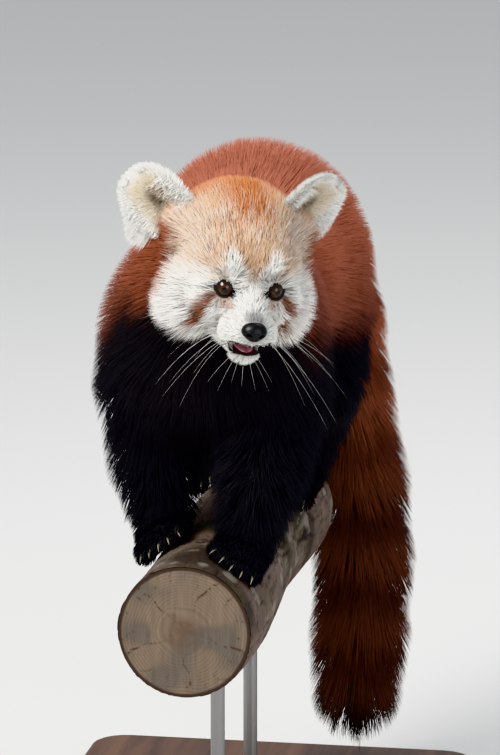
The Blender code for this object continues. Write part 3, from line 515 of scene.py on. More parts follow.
def rough_muscle(bm, muscle):
    """Adds a closed ball, or the hull of a tube's two ends."""
    if muscle["kind"] == "ball":
        made = bmesh.ops.create_icosphere(bm, subdivisions=4, radius=1.0)["verts"]
        for vertex in made:
            vertex.co = Vector(muscle["centre"] + muscle["turn"] @ (np.array(vertex.co) * muscle["radii"]))
        return
    ends = []
    for centre, radius in ((muscle["start"], muscle["radii"][0]), (muscle["end"], muscle["radii"][1])):
        ends += [bm.verts.new(Vector(centre + way * radius)) for way in even_directions(150)]
    hull = bmesh.ops.convex_hull(bm, input=ends, use_existing_faces=False)
    inside = [e for e in hull["geom_interior"] if isinstance(e, bmesh.types.BMVert)]
    bmesh.ops.delete(bm, geom=inside, context="VERTS")


SKIN_VOXEL = 0.0032
HEAD_BOX = 6  # centimetres from the head's middle, to each side and up and down
FACE_BACKS = (-1.5, -3.2)  # how far back the first two rounds of refining reach, in the head's frame
FINE_REACH = 1.35  # round each eye, in the third round


def refine_face(obj, back):
    """Splits the skin's faces in front of a line on the head, or round the eyes and lips."""
    bm = bmesh.new()
    bm.from_mesh(obj.data)
    x, y, z = to_head(np.array([f.calc_center_median() for f in bm.faces])).T
    wide = np.abs(x)
    chosen = (wide < HEAD_BOX) & (np.abs(z) < HEAD_BOX)
    if back is None:
        eye = np.linalg.norm(np.stack([wide, y, z], 1) - np.array(EYE_PLACE), axis=1) < FINE_REACH
        lips = (y < -4.6) & (np.abs(z + 3.4) < 0.9) & (wide < 2.4)
        chosen &= (eye | lips) & (y < -3.4)
    else:
        chosen &= y < back
    edges = {e for f, c in zip(bm.faces, chosen) if c for e in f.edges}
    bmesh.ops.subdivide_edges(bm, edges=list(edges), cuts=1, use_grid_fill=True)
    bmesh.ops.triangulate(bm, faces=[f for f in bm.faces if len(f.verts) > 4])
    bm.to_mesh(obj.data)
    bm.free()


def onto_body(points, limit):
    """Moves points onto the body's surface, each by no more than a limit."""
    far = np.clip(body_distance(points), -limit, limit)
    return points - outwards(points) * far[:, None]


def make_skin():
    """One closed skin over the whole body, finest on the face."""
    bm = bmesh.new()
    for part in FLESH.values():
        for muscle in part:
            rough_muscle(bm, muscle)
    bmesh.ops.recalc_face_normals(bm, faces=bm.faces)
    obj = object_from_bmesh("skin", bm)
    remesh = obj.modifiers.new("remesh", "REMESH")
    remesh.mode = "VOXEL"
    remesh.voxel_size = SKIN_VOXEL
    apply_modifiers(obj)
    points = coordinates(obj)
    for turn in range(5):
        if turn < 3:
            points = relax(obj, points, 0.5)
        points = onto_body(points, SKIN_VOXEL)
    set_coordinates(obj, points)
    for back in (*FACE_BACKS, None):
        refine_face(obj, back)
        points = relax(obj, coordinates(obj), 0.35)
        near = to_head(points)[:, 1] < (back or FACE_BACKS[-1]) + 1.0
        points[near] = onto_body(points[near], 0.002)
        set_coordinates(obj, points)
    shape_face(obj)
    obj.data.shade_smooth()
    return obj


# The face's finer forms, in the head's frame in centimetres
LID = {"wide": 0.70, "tall": 0.50, "proud": 0.15, "tilt": 10.0}
MOUTH = {"front": (-7.2, -3.35), "corner": (-4.7, -3.75), "gap": 0.36, "deep": 1.3, "top": -1.9, "wide": 2.6}
NOSE = {"centre": (0, -7.62, -1.70), "radii": (1.05, 0.84, 0.82)}
TONGUE = {"centre": (-0.2, -5.55, -3.62), "radii": (0.80, 1.5, 0.20)}


def almond(across, up, side):
    """Below 1 inside the lids' opening, a little pointed at its corners and slanting down inwards."""
    slant = math.radians(LID["tilt"]) * side
    a = across * math.cos(slant) + up * math.sin(slant)
    b = up * math.cos(slant) - across * math.sin(slant)
    tall = LID["tall"] * (1 - 0.2 * np.clip(a / LID["wide"], -1, 1) ** 2)
    return np.sqrt((a / LID["wide"]) ** 2 + (b / tall) ** 2)


def eye_view(points, side):
    """Places in an eye's frame, their distance, their height on it and their share of its opening."""
    eye = (points - eye_centre(side)) @ eye_turn(side) / CM
    radius = np.linalg.norm(eye, axis=1)
    across, up = (eye[:, axis] * EYE_RADIUS / np.maximum(radius, 0.3) for axis in (0, 1))
    return eye, radius, up, almond(across, up, side)


def lid_rims(points, low, high):
    """1 on the eyes, fading over the lids' rims between two shares of the opening."""
    rims = np.zeros(len(points))
    for side in (1, -1):
        eye, radius, _, share = eye_view(points, side)
        near = (radius < 1.5) & (eye[:, 2] > 0)
        rims = np.maximum(rims, near * fade(share, low, high))
    return rims


def lip_line(local):
    """The height of the line between the lips, from the front back to the mouth's corners."""
    (front_y, front_z), (back_y, back_z) = MOUTH["front"], MOUTH["corner"]
    share = np.clip((local[:, 1] - front_y) / (back_y - front_y), 0, 1.3)
    dip = 0.12 * hump(local[:, 0], 0.5) * (1 - share)
    return front_z + (back_z - front_z) * share ** 1.5 - 0.25 * np.sin(share * math.pi) - dip


def past_corner(local, start, end):
    """0 to 1 over a stretch in front of the mouth's corners."""
    corner = -MOUTH["corner"][0]
    return smooth(-local[:, 1], corner + start, corner + end)


def lip_gap(local):
    """Half the height of the open mouth, closing towards its corners."""
    return MOUTH["gap"] * (0.35 + 0.65 * past_corner(local, 0, 1.6)) * past_corner(local, -0.1, 0.3)


def off_lips(local):
    """How far above or below the mouth's opening places are, negative inside it."""
    return np.abs(local[:, 2] - lip_line(local)) - lip_gap(local)


def shape_face(obj):
    """Lids round the eyes, the slightly open mouth with its lips, and the groove down from the nose."""
    points = coordinates(obj)
    x, y, z = to_head(points).T
    head_part = (y < 0) & (np.abs(x) < HEAD_BOX) & (np.abs(z) < HEAD_BOX)
    for side in (1, -1):
        eye, radius, up, share = eye_view(points, side)
        front = head_part & (eye[:, 2] > 0.0) & (radius < 1.9)
        share = np.where(eye[:, 2] > 0.25 * radius, share, 3.0)
        lid = EYE_RADIUS + LID["proud"] * fade(share, 1.1, 1.9)
        outside = np.where(share < 1.9, np.clip(radius, lid, EYE_RADIUS + 0.34), radius)
        fold = 0.06 * hump(share - 1.62, 0.10) * smooth(up, 0.1, 0.4)
        target = EYE_RADIUS - 0.12 + (outside - fold - EYE_RADIUS + 0.12) * smooth(share, 0.92, 1.06)
        scaled = eye * (target / np.maximum(radius, 1e-6))[:, None] * CM
        points[front] = (eye_centre(side) + scaled @ eye_turn(side).T)[front]
    local = to_head(points)
    x, y, z = local.T
    mouth_part = head_part & (y < MOUTH["corner"][0]) & (z < MOUTH["top"])
    mouth_part &= np.abs(x) < MOUTH["wide"]
    off, gap = np.abs(z - lip_line(local)), lip_gap(local) + 0.05
    front = past_corner(local, 0, 0.5)
    inside = fade(off, gap, gap + 0.06) * front
    lip = hump(off - gap - 0.13, 0.10) * front
    inward = units(np.stack([-x * 0.8, -(y + 3.2), np.zeros(len(local))], 1))
    local[mouth_part] += (inward * (inside * MOUTH["deep"] - lip * 0.06)[:, None])[mouth_part]
    seam = hump(x, 0.05) * (y < -6.0)
    seam *= smooth(z, -3.1, -2.9) * fade(z, -2.3, -2.1)
    local[:, 1] += 0.10 * seam
    points[head_part] = on_heads(local)[head_part]
    set_coordinates(obj, points)


# Markings

def colour(red, green, blue):
    """A linear colour from the one seen on a screen, each part from 0 to 255."""
    seen = np.array([red, green, blue]) / 255.0
    return np.where(seen <= 0.04045, seen / 12.92, ((seen + 0.055) / 1.055) ** 2.4)


RUST, DUSKY_RUST, RUFF = colour(178, 108, 86), colour(138, 86, 74), colour(158, 92, 68)
RUFF_EDGE, BELLY, COAL = colour(140, 90, 84), colour(42, 40, 43), colour(37, 36, 40)
TAN, CROWN, PALE = colour(226, 190, 158), colour(198, 124, 70), colour(236, 218, 200)
WHITE, CREAM, TEAR = colour(250, 248, 243), colour(230, 214, 188), colour(138, 78, 48)
GREY, RIM, LIP = colour(136, 130, 132), colour(18, 12, 11), colour(26, 20, 22)
TICK, PEACH, GUM = colour(132, 82, 56), colour(214, 162, 128), colour(96, 42, 48)
# the tail's dark tip colour also serves as painted shade on the tail's lower part
TAIL_RUST, TAIL_DARK, TAIL_TIP_AND_SHADE = colour(162, 102, 82), colour(92, 54, 47), colour(34, 26, 25)
EAR_DARK, EAR_BACK = colour(104, 86, 70), colour(110, 62, 46)


def blend(base, over, share):
    """Paints a colour over others by its share."""
    return base + (np.asarray(over) - base) * np.clip(share, 0, 1)[:, None]


def layers(base, *coats):
    """Paints colours over others in turn, each by its share."""
    for over, share in coats:
        base = blend(base, over, share)
    return base


def spot(local, centre, radii, soft):
    """1 inside an ellipsoid on the head, fading over its edge."""
    near = np.linalg.norm((local - np.array(centre)) / np.array(radii), axis=1)
    return fade(near, 1 - soft, 1 + soft)


def body_markings(points):
    """Rust back and flanks over a black chest and belly."""
    edge = ragged(points, (1.1, 3, 1.6), (3.5, 4, 1.6))
    x, y, z = to_panda(points).T
    low_line = 17.0 - 2.6 * smooth(y, 0.0, 9.0) + 1.0 * smooth(y, 9.0, 17.0) - 1.5 * smooth(y, 20.0, 27.0)
    dark = fade(z + edge, low_line - 1.3, low_line + 1.3)
    front = fade(y + 0.55 * (z - 17.0) + edge * 0.6, -4.5, -1.0)
    under = fade(z + edge * 0.8 + 0.35 * np.abs(x), 20.5, 23.0)
    return layers(DUSKY_RUST, (RUST, smooth(z, 13.5, 21.5)), (BELLY, np.maximum(dark, front * under)))


def tail_markings(points):
    """Faint lighter and darker rings down the tail, its dark tip, and painted shade darkening the tail's
    lower part.
    """
    down = to_panda(points)[:, 2] + ragged(points, (1.4, 5, 1.8))
    rings = 0.5 + 0.5 * np.sin(down * 2 * math.pi / 6.4 + 0.7)
    # painted shade: the tail's lower part darkened with the darker rings' colour and the tip's colour
    lower = fade(down, -7.0, 9.0)
    return layers(
        RUST * 0.9,
        (TAIL_RUST, fade(down, 4.0, 14.0)),
        (TAIL_DARK, smooth(rings, 0.3, 0.75) * 0.55 + lower * 0.5),
        (TAIL_TIP_AND_SHADE, np.maximum(fade(down, -23.5, -17.5), lower * 0.45)),
    )


def neck_markings(points):
    """The ruff's rust above and at the sides, turning black under the throat."""
    x, _, z = to_head(points).T
    return layers(
        RUFF,
        (RUFF_EDGE, smooth(np.abs(x), 5.2, 7.6)),
        (DUSKY_RUST, fade(z, -3.5, -0.5) * 0.4),
        (RUST, smooth(to_panda(points)[:, 2], 24.0, 27.0) * 0.8),
        (BELLY, fade(z + ragged(points, (0.9, 6, 1.6)) + 0.25 * np.abs(x), -4.4, -2.8)),
    )


def face_markings(points):
    """Tan crown ticked with white, white brows, cheeks and muzzle, and the rust tear marks."""
    local = to_head(points)
    uneven = ragged(points, (0.45, 8, 0.6), (0.14, 10, 0.5))
    x, y, z = local.T
    wide = np.abs(x)
    mirrored = np.stack([wide, y, z], 1)
    crown = smooth(z + 0.35 * y, 3.0, 5.4) * fade(wide + uneven * 1.5, 0.6, 3.0)
    crown = np.maximum(crown, smooth(y + uneven, 0.2, 2.4) * smooth(z, 3.0, 4.5) * 0.85)
    front = fade(y, -1.6, 1.2)
    edge = 1.75 - 0.5 * smooth(wide, 2.6, 4.5) * (wide - 2.6)
    stripe = fade(wide + uneven * 0.5, 0.5 + 0.42 * (z - 1.0), 0.85 + 0.42 * (z - 1.0))
    stripe *= fade(z, 2.8, 4.2)
    streaks = 0.75 + ragged(points, (0.12, 14, 0.5))
    side = smooth(wide + 0.6 * y + uneven, 4.7, 5.9) * fade(z, 2.8, 3.8) * smooth(z, -3.0, -0.5)
    behind = smooth(y + uneven * 1.5 - 0.35 * smooth(-z, 0, 3), 0.9, 2.2) * fade(z, 2.2, 4.2)
    throat = fade(z + uneven, -4.7, -4.1) * smooth(y + uneven, -4.6, -3.6)
    return layers(
        TAN,
        (PALE, smooth(wide, 2.2, 4.6) * 0.75),
        (CROWN, crown),
        (WHITE, smooth(noise(points, 0.13, 9), 0.5, 0.78) * (0.2 + 0.45 * front)),
        (TICK, smooth(noise(points, 0.11, 12), 0.66, 0.82) * (0.35 + 0.25 * front)),
        (WHITE, fade(z + uneven, edge - 0.7, edge + 0.6)),
        (TAN, stripe * smooth(z, 0.7, 1.6) * streaks),
        (TICK, stripe * smooth(z, 1.2, 2.2) * smooth(noise(points, 0.12, 15), 0.62, 0.8) * 0.6),
        (WHITE, spot(mirrored, (1.75, -4.7, 2.6), (0.62, 1.6, 0.95), 0.45)),
        (WHITE, spot(mirrored, (1.2, -5.0, 1.7), (0.5, 1.6, 0.9), 0.4) * 0.9),
        (PEACH, spot(mirrored, (1.95, -5.1, -0.45), (0.75, 1.2, 0.3), 0.5) * 0.6),
        (GREY, spot(local, (0, -7.5, -0.7), (0.85, 0.9, 0.5), 0.5) * 0.75),
        (RUFF, np.maximum(np.maximum(side, behind), smooth(y + uneven, 3.2, 5.0))),
        (TEAR, tear_mark(mirrored, uneven)),
        (BELLY, np.maximum(throat, fade(z, -5.6, -5.2))),
    )


def tear_mark(mirrored, uneven):
    """From the eye's outer corner down and back past the mouth's corner."""
    places = np.array([(2.95, -4.8, 0.1), (3.6, -4.6, -1.2), (3.5, -4.1, -2.9)])
    flatten = np.array([1, 0.3, 1])  # the mark goes by height and width, whatever the hair's depth
    places, mirrored = places * flatten, mirrored * flatten
    away = np.full(len(mirrored), 9.0)
    dark = np.zeros(len(mirrored))
    for number, (start, end) in enumerate(zip(places, places[1:])):
        axis = end - start
        share = np.clip(((mirrored - start) @ axis) / (axis @ axis), 0, 1)
        this = np.linalg.norm(mirrored - start - share[:, None] * axis, axis=1) - 0.08 * (number + share)
        dark = np.where(this < away, (number + share) / 2, dark)
        away = np.minimum(away, this)
    return fade(away + uneven * 0.3, 0.20, 0.50) * (0.85 + 0.15 * dark) * (mirrored[:, 1] < -0.5)


def face_skin_details(points, tint):
    """Dark lid rims and lips, and the mouth's inside, on the skin itself."""
    local = to_head(points)
    x, y, z = local.T
    off = off_lips(local)
    lips = fade(off, 0.16, 0.30) * past_corner(local, -0.3, 0.1)
    lips *= (z < MOUTH["top"]) * (np.abs(x) < MOUTH["wide"])
    deep = smooth(-off, -0.05, 0.05) * (y > -6.6) * (y < MOUTH["corner"][0]) * (np.abs(x) < 1.8)
    return layers(tint, (RIM, lid_rims(points, 1.10, 1.22)), (LIP, lips), (GUM, deep * (z < -2.4)))


def markings(points, parts):
    """The coat's colour at places on the skin, by the share of each part there."""
    tint = body_markings(points) * parts["torso"][:, None]
    tint += neck_markings(points) * parts["neck"][:, None]
    tint += face_markings(points) * parts["head"][:, None]
    tint += tail_markings(points) * parts["tail"][:, None]
    _, y, z = to_panda(points).T
    thigh = smooth(z + ragged(points, (1.2, 7, 2)), 13.0, 15.5) * smooth(y, 12, 15)
    return tint + blend(COAL, DUSKY_RUST, thigh * 0.8) * share_of(parts, "leg", "paw")[:, None]


# The coat

def share_of(parts, *words):
    """How much the parts with one of some words in their names count together."""
    return sum(parts[name] for name in parts if any(word in name for word in words))


def spread(obj, density, rng):
    """Roots spread over a skin by a density for each square centimetre at each point of it."""
    corners = triangles_of(obj)
    area = np.linalg.norm(facing(coordinates(obj)[corners]), axis=1) / 2
    count = rng.poisson(area / CM ** 2 * density[corners].mean(1))
    chosen = np.repeat(np.arange(len(corners)), count)
    return corners[chosen], rng.dirichlet((1, 1, 1), len(chosen)), chosen


def mixed(values, corners, mix):
    """A value at each root from those at the skin's points."""
    found = values[corners]
    return (found * mix[..., None]).sum(1) if found.ndim == 3 else (found * mix).sum(1)


def clump(roots, tips, style, rng):
    """Draws the tips of neighbours together, as damp or lying hair gathers into locks."""
    leaders = rng.choice(len(roots), max(1, int(len(roots) / style["clump"])), replace=False)
    tree = KDTree(len(leaders))
    for index, leader in enumerate(leaders):
        tree.insert(roots[leader], index)
    tree.balance()
    nearest = np.array([leaders[tree.find(root)[1]] for root in roots])
    return tips + (tips[nearest] - tips) * style["pull"]


# A tuft has a triangle at its root and one at its bend, with the ridge last, and then its tip
TUFT_POINTS = 7
TUFT_FACES = np.array([(2, 1, 0), (0, 1, 3), (1, 4, 3), (1, 2, 4), (2, 5, 4), (2, 0, 5), (0, 3, 5),
                       (3, 4, 6), (4, 5, 6), (5, 3, 6)])
TUFT_PATCH = np.array([(0, 0), (1, 0), (2, 0), (0, 1), (1, 1), (2, 1), (0, 2)]) * (0.001, 0.0015)


def tuft_mesh(name, middles, across, outs, width, tint, style, patch):
    """Closed three-sided tufts from their roots' middles over their bends to their tips."""
    points = []
    for middle, wide in zip(middles, width):
        side, rise = across * (0.5 * wide)[:, None], outs * (wide * 0.3)[:, None]
        points += [middle - side - rise * 0.4, middle + side - rise * 0.4, middle + rise]
    points = np.stack([*points, middles[-1]], 1).reshape(-1, 3)
    faces = ((np.arange(len(outs)) * TUFT_POINTS)[:, None, None] + TUFT_FACES).reshape(-1, 3)
    # painted shade: each tuft darkest at its root and lightest at its tip
    colours = (tint[:, None] * np.repeat(style["shades"], (3, 3, 1))[:, None]).reshape(-1, 3)
    own = np.array([[-0.9, style["under"]], [0.9, style["under"]], [0, 1.0]] * 2 + [[0, 1.0]])
    normals = units(across[:, None] * own[:, :1] * (1 - style["soft"]) + outs[:, None] * own[:, 1:])
    obj = mesh_object(name, points, faces, colours, normals.reshape(-1, 3))
    add_bake_map(obj.data, (patch[:, None] + TUFT_PATCH).reshape(-1, 2)[faces.ravel()])
    return obj


def coat_piece(name, roots, outs, lies, depths, lengths, tints, patches, style, rng):
    """Grows tufts from roots: along the lie and out to the coat's depth, gathered in clumps."""
    count = len(roots)
    flow = np.stack([noise(roots, 2.2, seed) for seed in (21, 22, 23)], 1) - 0.5
    lies = lies + rng.normal(0, style["stray"], (count, 3)) + flow * style["flow"]
    along = lies - outs * (lies * outs).sum(1)[:, None]
    size = np.linalg.norm(along, axis=1, keepdims=True)
    along = np.where(size > 0.2, along / np.maximum(size, 1e-6), lies)
    rise = depths * style["rise"]
    tips = clump(roots, roots + along * lengths[:, None] + outs * rise[:, None], style, rng)
    middles = []
    for share in (0.0, style["middle"], 1.0):
        lift = share ** style["bend"]
        place = roots + (tips - roots) * share + outs * (rise * (lift - share))[:, None]
        if share > 0 and style["hug"]:
            off = np.clip(rise * lift - body_distance(place), -0.012, 0.012)
            place = place + outs * off[:, None]
        middles.append(place)
    ways = units(middles[-1] - middles[0])
    across = units(np.cross(outs, ways) + rng.normal(0, 0.25, (count, 3)))
    across = units(across - ways * (across * ways).sum(1)[:, None])
    width = np.outer(style["widths"], rng.uniform(0.75, 1.25, count)) * style["width"] * CM
    tint = tints * rng.uniform(1 - style["vary"], 1 + style["vary"], (count, 1))
    return tuft_mesh(name, middles, across, outs, width, tint, style, patches)


# How hair grows: its scatter and waves, rise and gathering, the bend and widths, its painted shade (darkest
# at each tuft's root, lightest at its tip) and its shading
STYLES = {
    "body": {"stray": 0.13, "flow": 0.45, "rise": 0.97, "pull": 0.30, "clump": 14, "bend": 0.75,
             "middle": 0.48, "widths": (0.9, 1.0), "width": 0.082, "vary": 0.17,
             "shades": (0.5, 0.9, 1.1), "soft": 0.6, "under": 0.0, "hug": True},
    "face": {"stray": 0.18, "flow": 0.5, "rise": 0.80, "pull": 0.22, "clump": 7, "bend": 0.75,
             "middle": 0.5, "widths": (0.9, 0.9), "width": 0.046, "vary": 0.10,
             "shades": (0.74, 0.96, 1.06), "soft": 0.65, "under": 0.1, "hug": False},
    "ear": {"stray": 0.13, "flow": 0.1, "rise": 0.9, "pull": 0.15, "clump": 6, "bend": 1.0,
            "middle": 0.5, "widths": (1.0, 0.9), "width": 0.055, "vary": 0.05,
            "shades": (0.84, 0.98, 1.04), "soft": 0.45, "under": -0.3, "hug": False},
}
THINNED = 1.0
COAT_LIMIT = 190000  # triangles in one piece
SEEN = 0.45  # how far out along its hair a marking shows
TIP_SHORTER = 0.42  # the hair's loss of length at the tail's end


def grow_coat(skin, depth, lie, parts, unwrap):
    """The coat over the whole skin, in pieces of limited size."""
    rng = np.random.default_rng(11)
    points, normals = coordinates(skin), coordinates(skin, "normal")
    front = parts["head"] * fade(to_head(points)[:, 1], 2.0, 3.5)
    grown = (1 - face_bare(points)) * (1 - hidden(points))
    kinds = {
        "face": ("face", DENSITY["face"] * front),
        "leg": ("body", DENSITY["leg"] * share_of(parts, "leg") + DENSITY["paw"] * share_of(parts, "paw")),
        "back": ("body", DENSITY["body"] * (parts["torso"] + parts["neck"] + 1.5 * (parts["head"] - front))
                 + DENSITY["tail"] * parts["tail"]),
    }
    pieces = []
    for kind, (look, amount) in kinds.items():
        corners, mix, faces = spread(skin, amount * grown * THINNED, rng)
        roots, depths, lies = (mixed(values, corners, mix) for values in (points, depth, lie))
        outs = units(mixed(normals, corners, mix))
        lies = away_from_eyes(roots, lies) if kind == "face" else lies
        lengths = depths * 1.45 * rng.uniform(0.75, 1.2, len(roots)) * near_lips(roots)
        lengths *= 1 - TIP_SHORTER * smooth(-to_panda(roots)[:, 2], 18.5, 24.0)
        seen = roots + (lies * lengths[:, None] * 0.8 + outs * depths[:, None]) * SEEN
        tints = markings(seen, muscle_weights(roots)[2])
        values = [roots, outs, lies, depths, lengths, tints, (unwrap[faces] * mix[..., None]).sum(1)]
        order = np.argsort(roots[:, 1] + 3.0 * (roots[:, 2] < PERCH_TOP + 0.10))
        per = COAT_LIMIT // len(TUFT_FACES)
        for number, start in enumerate(range(0, len(order), per)):
            picked = [value[order[start:start + per]] for value in values]
            pieces.append(coat_piece("coat_%s_%d" % (kind, number), *picked, STYLES[look], rng))
    return pieces


def face_bare(points):
    """1 where the face has no hair: eyes, lids' rims, lips, mouth and the nose's seat."""
    local = to_head(points)
    x, y, z = local.T
    mouth = fade(off_lips(local), 0.12, 0.22) * (y < MOUTH["corner"][0] - 0.1)
    mouth *= (np.abs(x) < 2.4) * (z < MOUTH["top"])
    nose = np.linalg.norm((local - np.array(NOSE["centre"])) / (np.array(NOSE["radii"]) + 0.04), axis=1)
    return np.maximum(np.maximum(lid_rims(points, 1.02, 1.10), mouth), nose < 1)


def near_lips(points):
    """How much of its length the hair keeps by the mouth's opening."""
    local = to_head(points)
    return 1 - 0.6 * (fade(off_lips(local), 0.1, 0.8) * smooth(-local[:, 1], 4.2, 5.2))


def away_from_eyes(points, lies):
    """Turns the hair round each eye to lie away from it, and the lips' hair away from the mouth."""
    for side in (1, -1):
        off = points - eye_centre(side)
        near = fade(np.linalg.norm(off, axis=1) / CM, 1.0, 1.9)
        out = eye_turn(side)[:, 2]
        flat = units(off - (off @ out)[:, None] * out)
        lies = lies * (1 - near)[:, None] + flat * near[:, None]
    local = to_head(points)
    off = local[:, 2] - lip_line(local)
    near = fade(np.abs(off), 0.3, 0.9) * (local[:, 1] < MOUTH["corner"][0]) * (local[:, 2] < -2.0)
    up = np.sign(off)[:, None] * HEAD_TURN[:, 2] + HEAD_TURN[:, 1] * 0.8
    return lies * (1 - 0.8 * near)[:, None] + up * (0.8 * near)[:, None]


def hidden(points):
    """1 for skin that lies on the branch, where no hair grows."""
    x, _, z = to_panda(points).T
    return (np.hypot(x, z + PERCH_RADIUS / CM) < PERCH_RADIUS / CM + 0.35).astype(float)


def unwrap_of(skin, parts):
    """Flat places for each corner of the skin's triangles: one chart for each part and side it faces."""
    corners = triangles_of(skin)
    shape = coordinates(skin)[corners]
    ways = facing(shape)
    axis = np.abs(ways).argmax(1)
    ahead = ways[np.arange(len(axis)), axis] > 0
    part = np.stack(list(parts.values()), 1)[corners].sum(1).argmax(1)
    chart = part * 6 + axis * 2 + ahead
    rows = np.arange(len(axis))[:, None]
    across, up = np.array([1, 0, 0])[axis], np.array([2, 2, 1])[axis]
    flat = np.stack([shape[rows, [[0, 1, 2]], kept[:, None]] for kept in (across, up)], 2)
    flat *= np.where(part == list(parts).index("head"), 2.0, 1.0)[:, None, None]
    boxes = {c: (flat[chart == c].min((0, 1)), flat[chart == c].max((0, 1))) for c in np.unique(chart)}
    wide = math.sqrt(sum(np.prod(high - low + 0.01) for low, high in boxes.values())) * 1.12
    x, y, row, placed = 0.0, 0.0, 0.0, np.zeros_like(flat)
    for c in sorted(boxes, key=lambda c: -(boxes[c][1] - boxes[c][0])[1]):
        low, high = boxes[c]
        size = high - low + 0.01
        if x + size[0] > wide:
            x, y, row = 0.0, y + row, 0.0
        placed[chart == c] = flat[chart == c] - low + np.array([x, y]) + 0.005
        x, row = x + size[0], max(row, size[1])
    return placed * min(0.79 / wide, 0.99 / (y + row))


# Materials

def new_material(name):
    material = bpy.data.materials.new(name)
    material.use_nodes = True
    return material


def new_node(material, kind, values, **sources):
    """A node with some inputs set and some fed by other nodes' outputs, or the finish's own shader."""
    tree = material.node_tree
    node = tree.nodes[kind] if kind in tree.nodes else tree.nodes.new("ShaderNode" + kind)
    for name, value in values.items():
        node.inputs[name].default_value = value
    for name, (source, output) in sources.items():
        tree.links.new(source.outputs[output], node.inputs[name.replace("_", " ")])
    return node


def noise_node(material, stretch, values):
    """Noise over the object's own lengths, stretched along its axes."""
    place = new_node(material, "TexCoord", {})
    place = new_node(material, "Mapping", {"Scale": stretch}, Vector=(place, "Object"))
    return new_node(material, "TexNoise", values, Vector=(place, "Vector"))


def bump_node(material, height, strength, distance):
    values = {"Strength": strength, "Distance": distance}
    return new_node(material, "Bump", values, Height=(height, "Fac"))


def tinted_material(name, roughness, coat=0.0, bump=0.0, bump_scale=900.0, specular=0.5):
    """A finish whose colour is stored at the mesh's points."""
    material = new_material(name)
    tint = new_node(material, "Attribute", {})
    tint.attribute_name = "Tint"
    values = {"Roughness": roughness, "Coat Weight": coat, "Coat Roughness": 0.04,
              "Specular IOR Level": specular}
    new_node(material, "Principled BSDF", values, Base_Color=(tint, "Color"))
    if bump:
        texture = noise_node(material, (1.0, 1.0, 1.0), {"Scale": bump_scale, "Detail": 3.0})
        lift = bump_node(material, texture, bump, 0.0006)
        new_node(material, "Principled BSDF", {}, Normal=(lift, "Normal"))
    return material


def give(obj, material):
    """Makes a material the object's only one."""
    obj.data.materials.clear()
    obj.data.materials.append(material)


def put(obj, material, *nodes, slot):
    """Dresses a piece and lets it ride on the part; the slot argument is not used."""
    give(obj, material)
    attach(obj, "root")
    if nodes:
        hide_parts(*nodes)


# Pieces of the head

def dense_ball(name, segments=64, rings=40):
    bm = bmesh.new()
    bmesh.ops.create_uvsphere(bm, u_segments=segments, v_segments=rings, radius=1.0)
    return object_from_bmesh(name, bm)


def shaped_ball(obj, points, tint):
    """Gives a ball's points their places and colours."""
    set_coordinates(obj, points)
    add_colours(obj.data, tint)
    obj.data.shade_smooth()
    return obj


def make_eye(name, side):
    """A glossy ball with a swelling cornea, brown iris and black pupil."""
    obj = dense_ball(name)
    way = coordinates(obj)
    x, y, z = way.T
    away = np.degrees(np.arctan2(np.hypot(x, y), z))
    spin = np.arctan2(y, x)
    swell = 1 + 0.05 * fade(away, 10, 48)
    ray = 0.8 + 0.2 * np.sin(spin * 23) * np.sin(spin * 9 + 1)
    tint = layers(
        colour(20, 13, 11),
        (colour(70, 43, 24), fade(away, 36, 46) * ray),
        (colour(34, 19, 12), smooth(away, 27, 39) * 0.8),
        (colour(3, 2, 2), fade(away, 16, 19)),
    )
    points = eye_centre(side) + (way * (EYE_RADIUS * CM * swell)[:, None]) @ eye_turn(side).T
    return shaped_ball(obj, points, tint)


def make_nose():
    """The nose's leather, with two comma-shaped nostrils and the groove between them."""
    obj = dense_ball("nose_leather", 96, 64)
    x, y, z = coordinates(obj).T
    front = smooth(-y, 0.1, 0.6)
    groove = hump(x, 0.07) * fade(z, -0.1, 0.25) * front
    push = 0.12 * groove
    for side in (1, -1):
        u, v = x * side - 0.46, z + 0.12
        hole = np.exp(-((u / 0.17) ** 2 + ((v - 0.35 * u) / 0.13) ** 2) ** 1.5)
        slit = np.exp(-(((u - 0.24) / 0.22) ** 2 + ((v + 0.12 - 0.45 * (u - 0.2)) / 0.06) ** 2))
        wing = np.exp(-((u - 0.05) / 0.34) ** 2 - ((v - 0.28) / 0.13) ** 2)
        push += (0.5 * hole + 0.22 * slit - 0.05 * wing) * front
    shape = np.stack([x * (1 - 0.25 * smooth(-z, 0.0, 0.9)), y + push, z], 1)
    points = on_heads(np.array(NOSE["centre"]) + shape * np.array(NOSE["radii"]))
    # painted shade: the leather darker where the nostrils and the groove sink in
    return shaped_ball(obj, points, blend(colour(7, 7, 8), colour(4, 3, 4), smooth(push, 0.08, 0.3)))


def make_tongue():
    """The tongue's tip, a rounded tray with a groove, resting on the lower lip."""
    obj = dense_ball("tongue_tip", 48, 32)
    x, y, z = coordinates(obj).T
    sink = 0.5 * hump(x, 0.16) * (z > 0)
    shape = np.stack([x, y, z - sink - 0.5 * smooth(-y, 0.2, 1.0) ** 2], 1)
    points = on_heads(np.array(TONGUE["centre"]) + shape * np.array(TONGUE["radii"]))
    # painted shade: darker along the middle, where the groove sinks
    tint = blend(colour(182, 122, 130), colour(150, 78, 90), hump(x, 0.12) * 0.7)
    return shaped_ball(obj, points, tint)


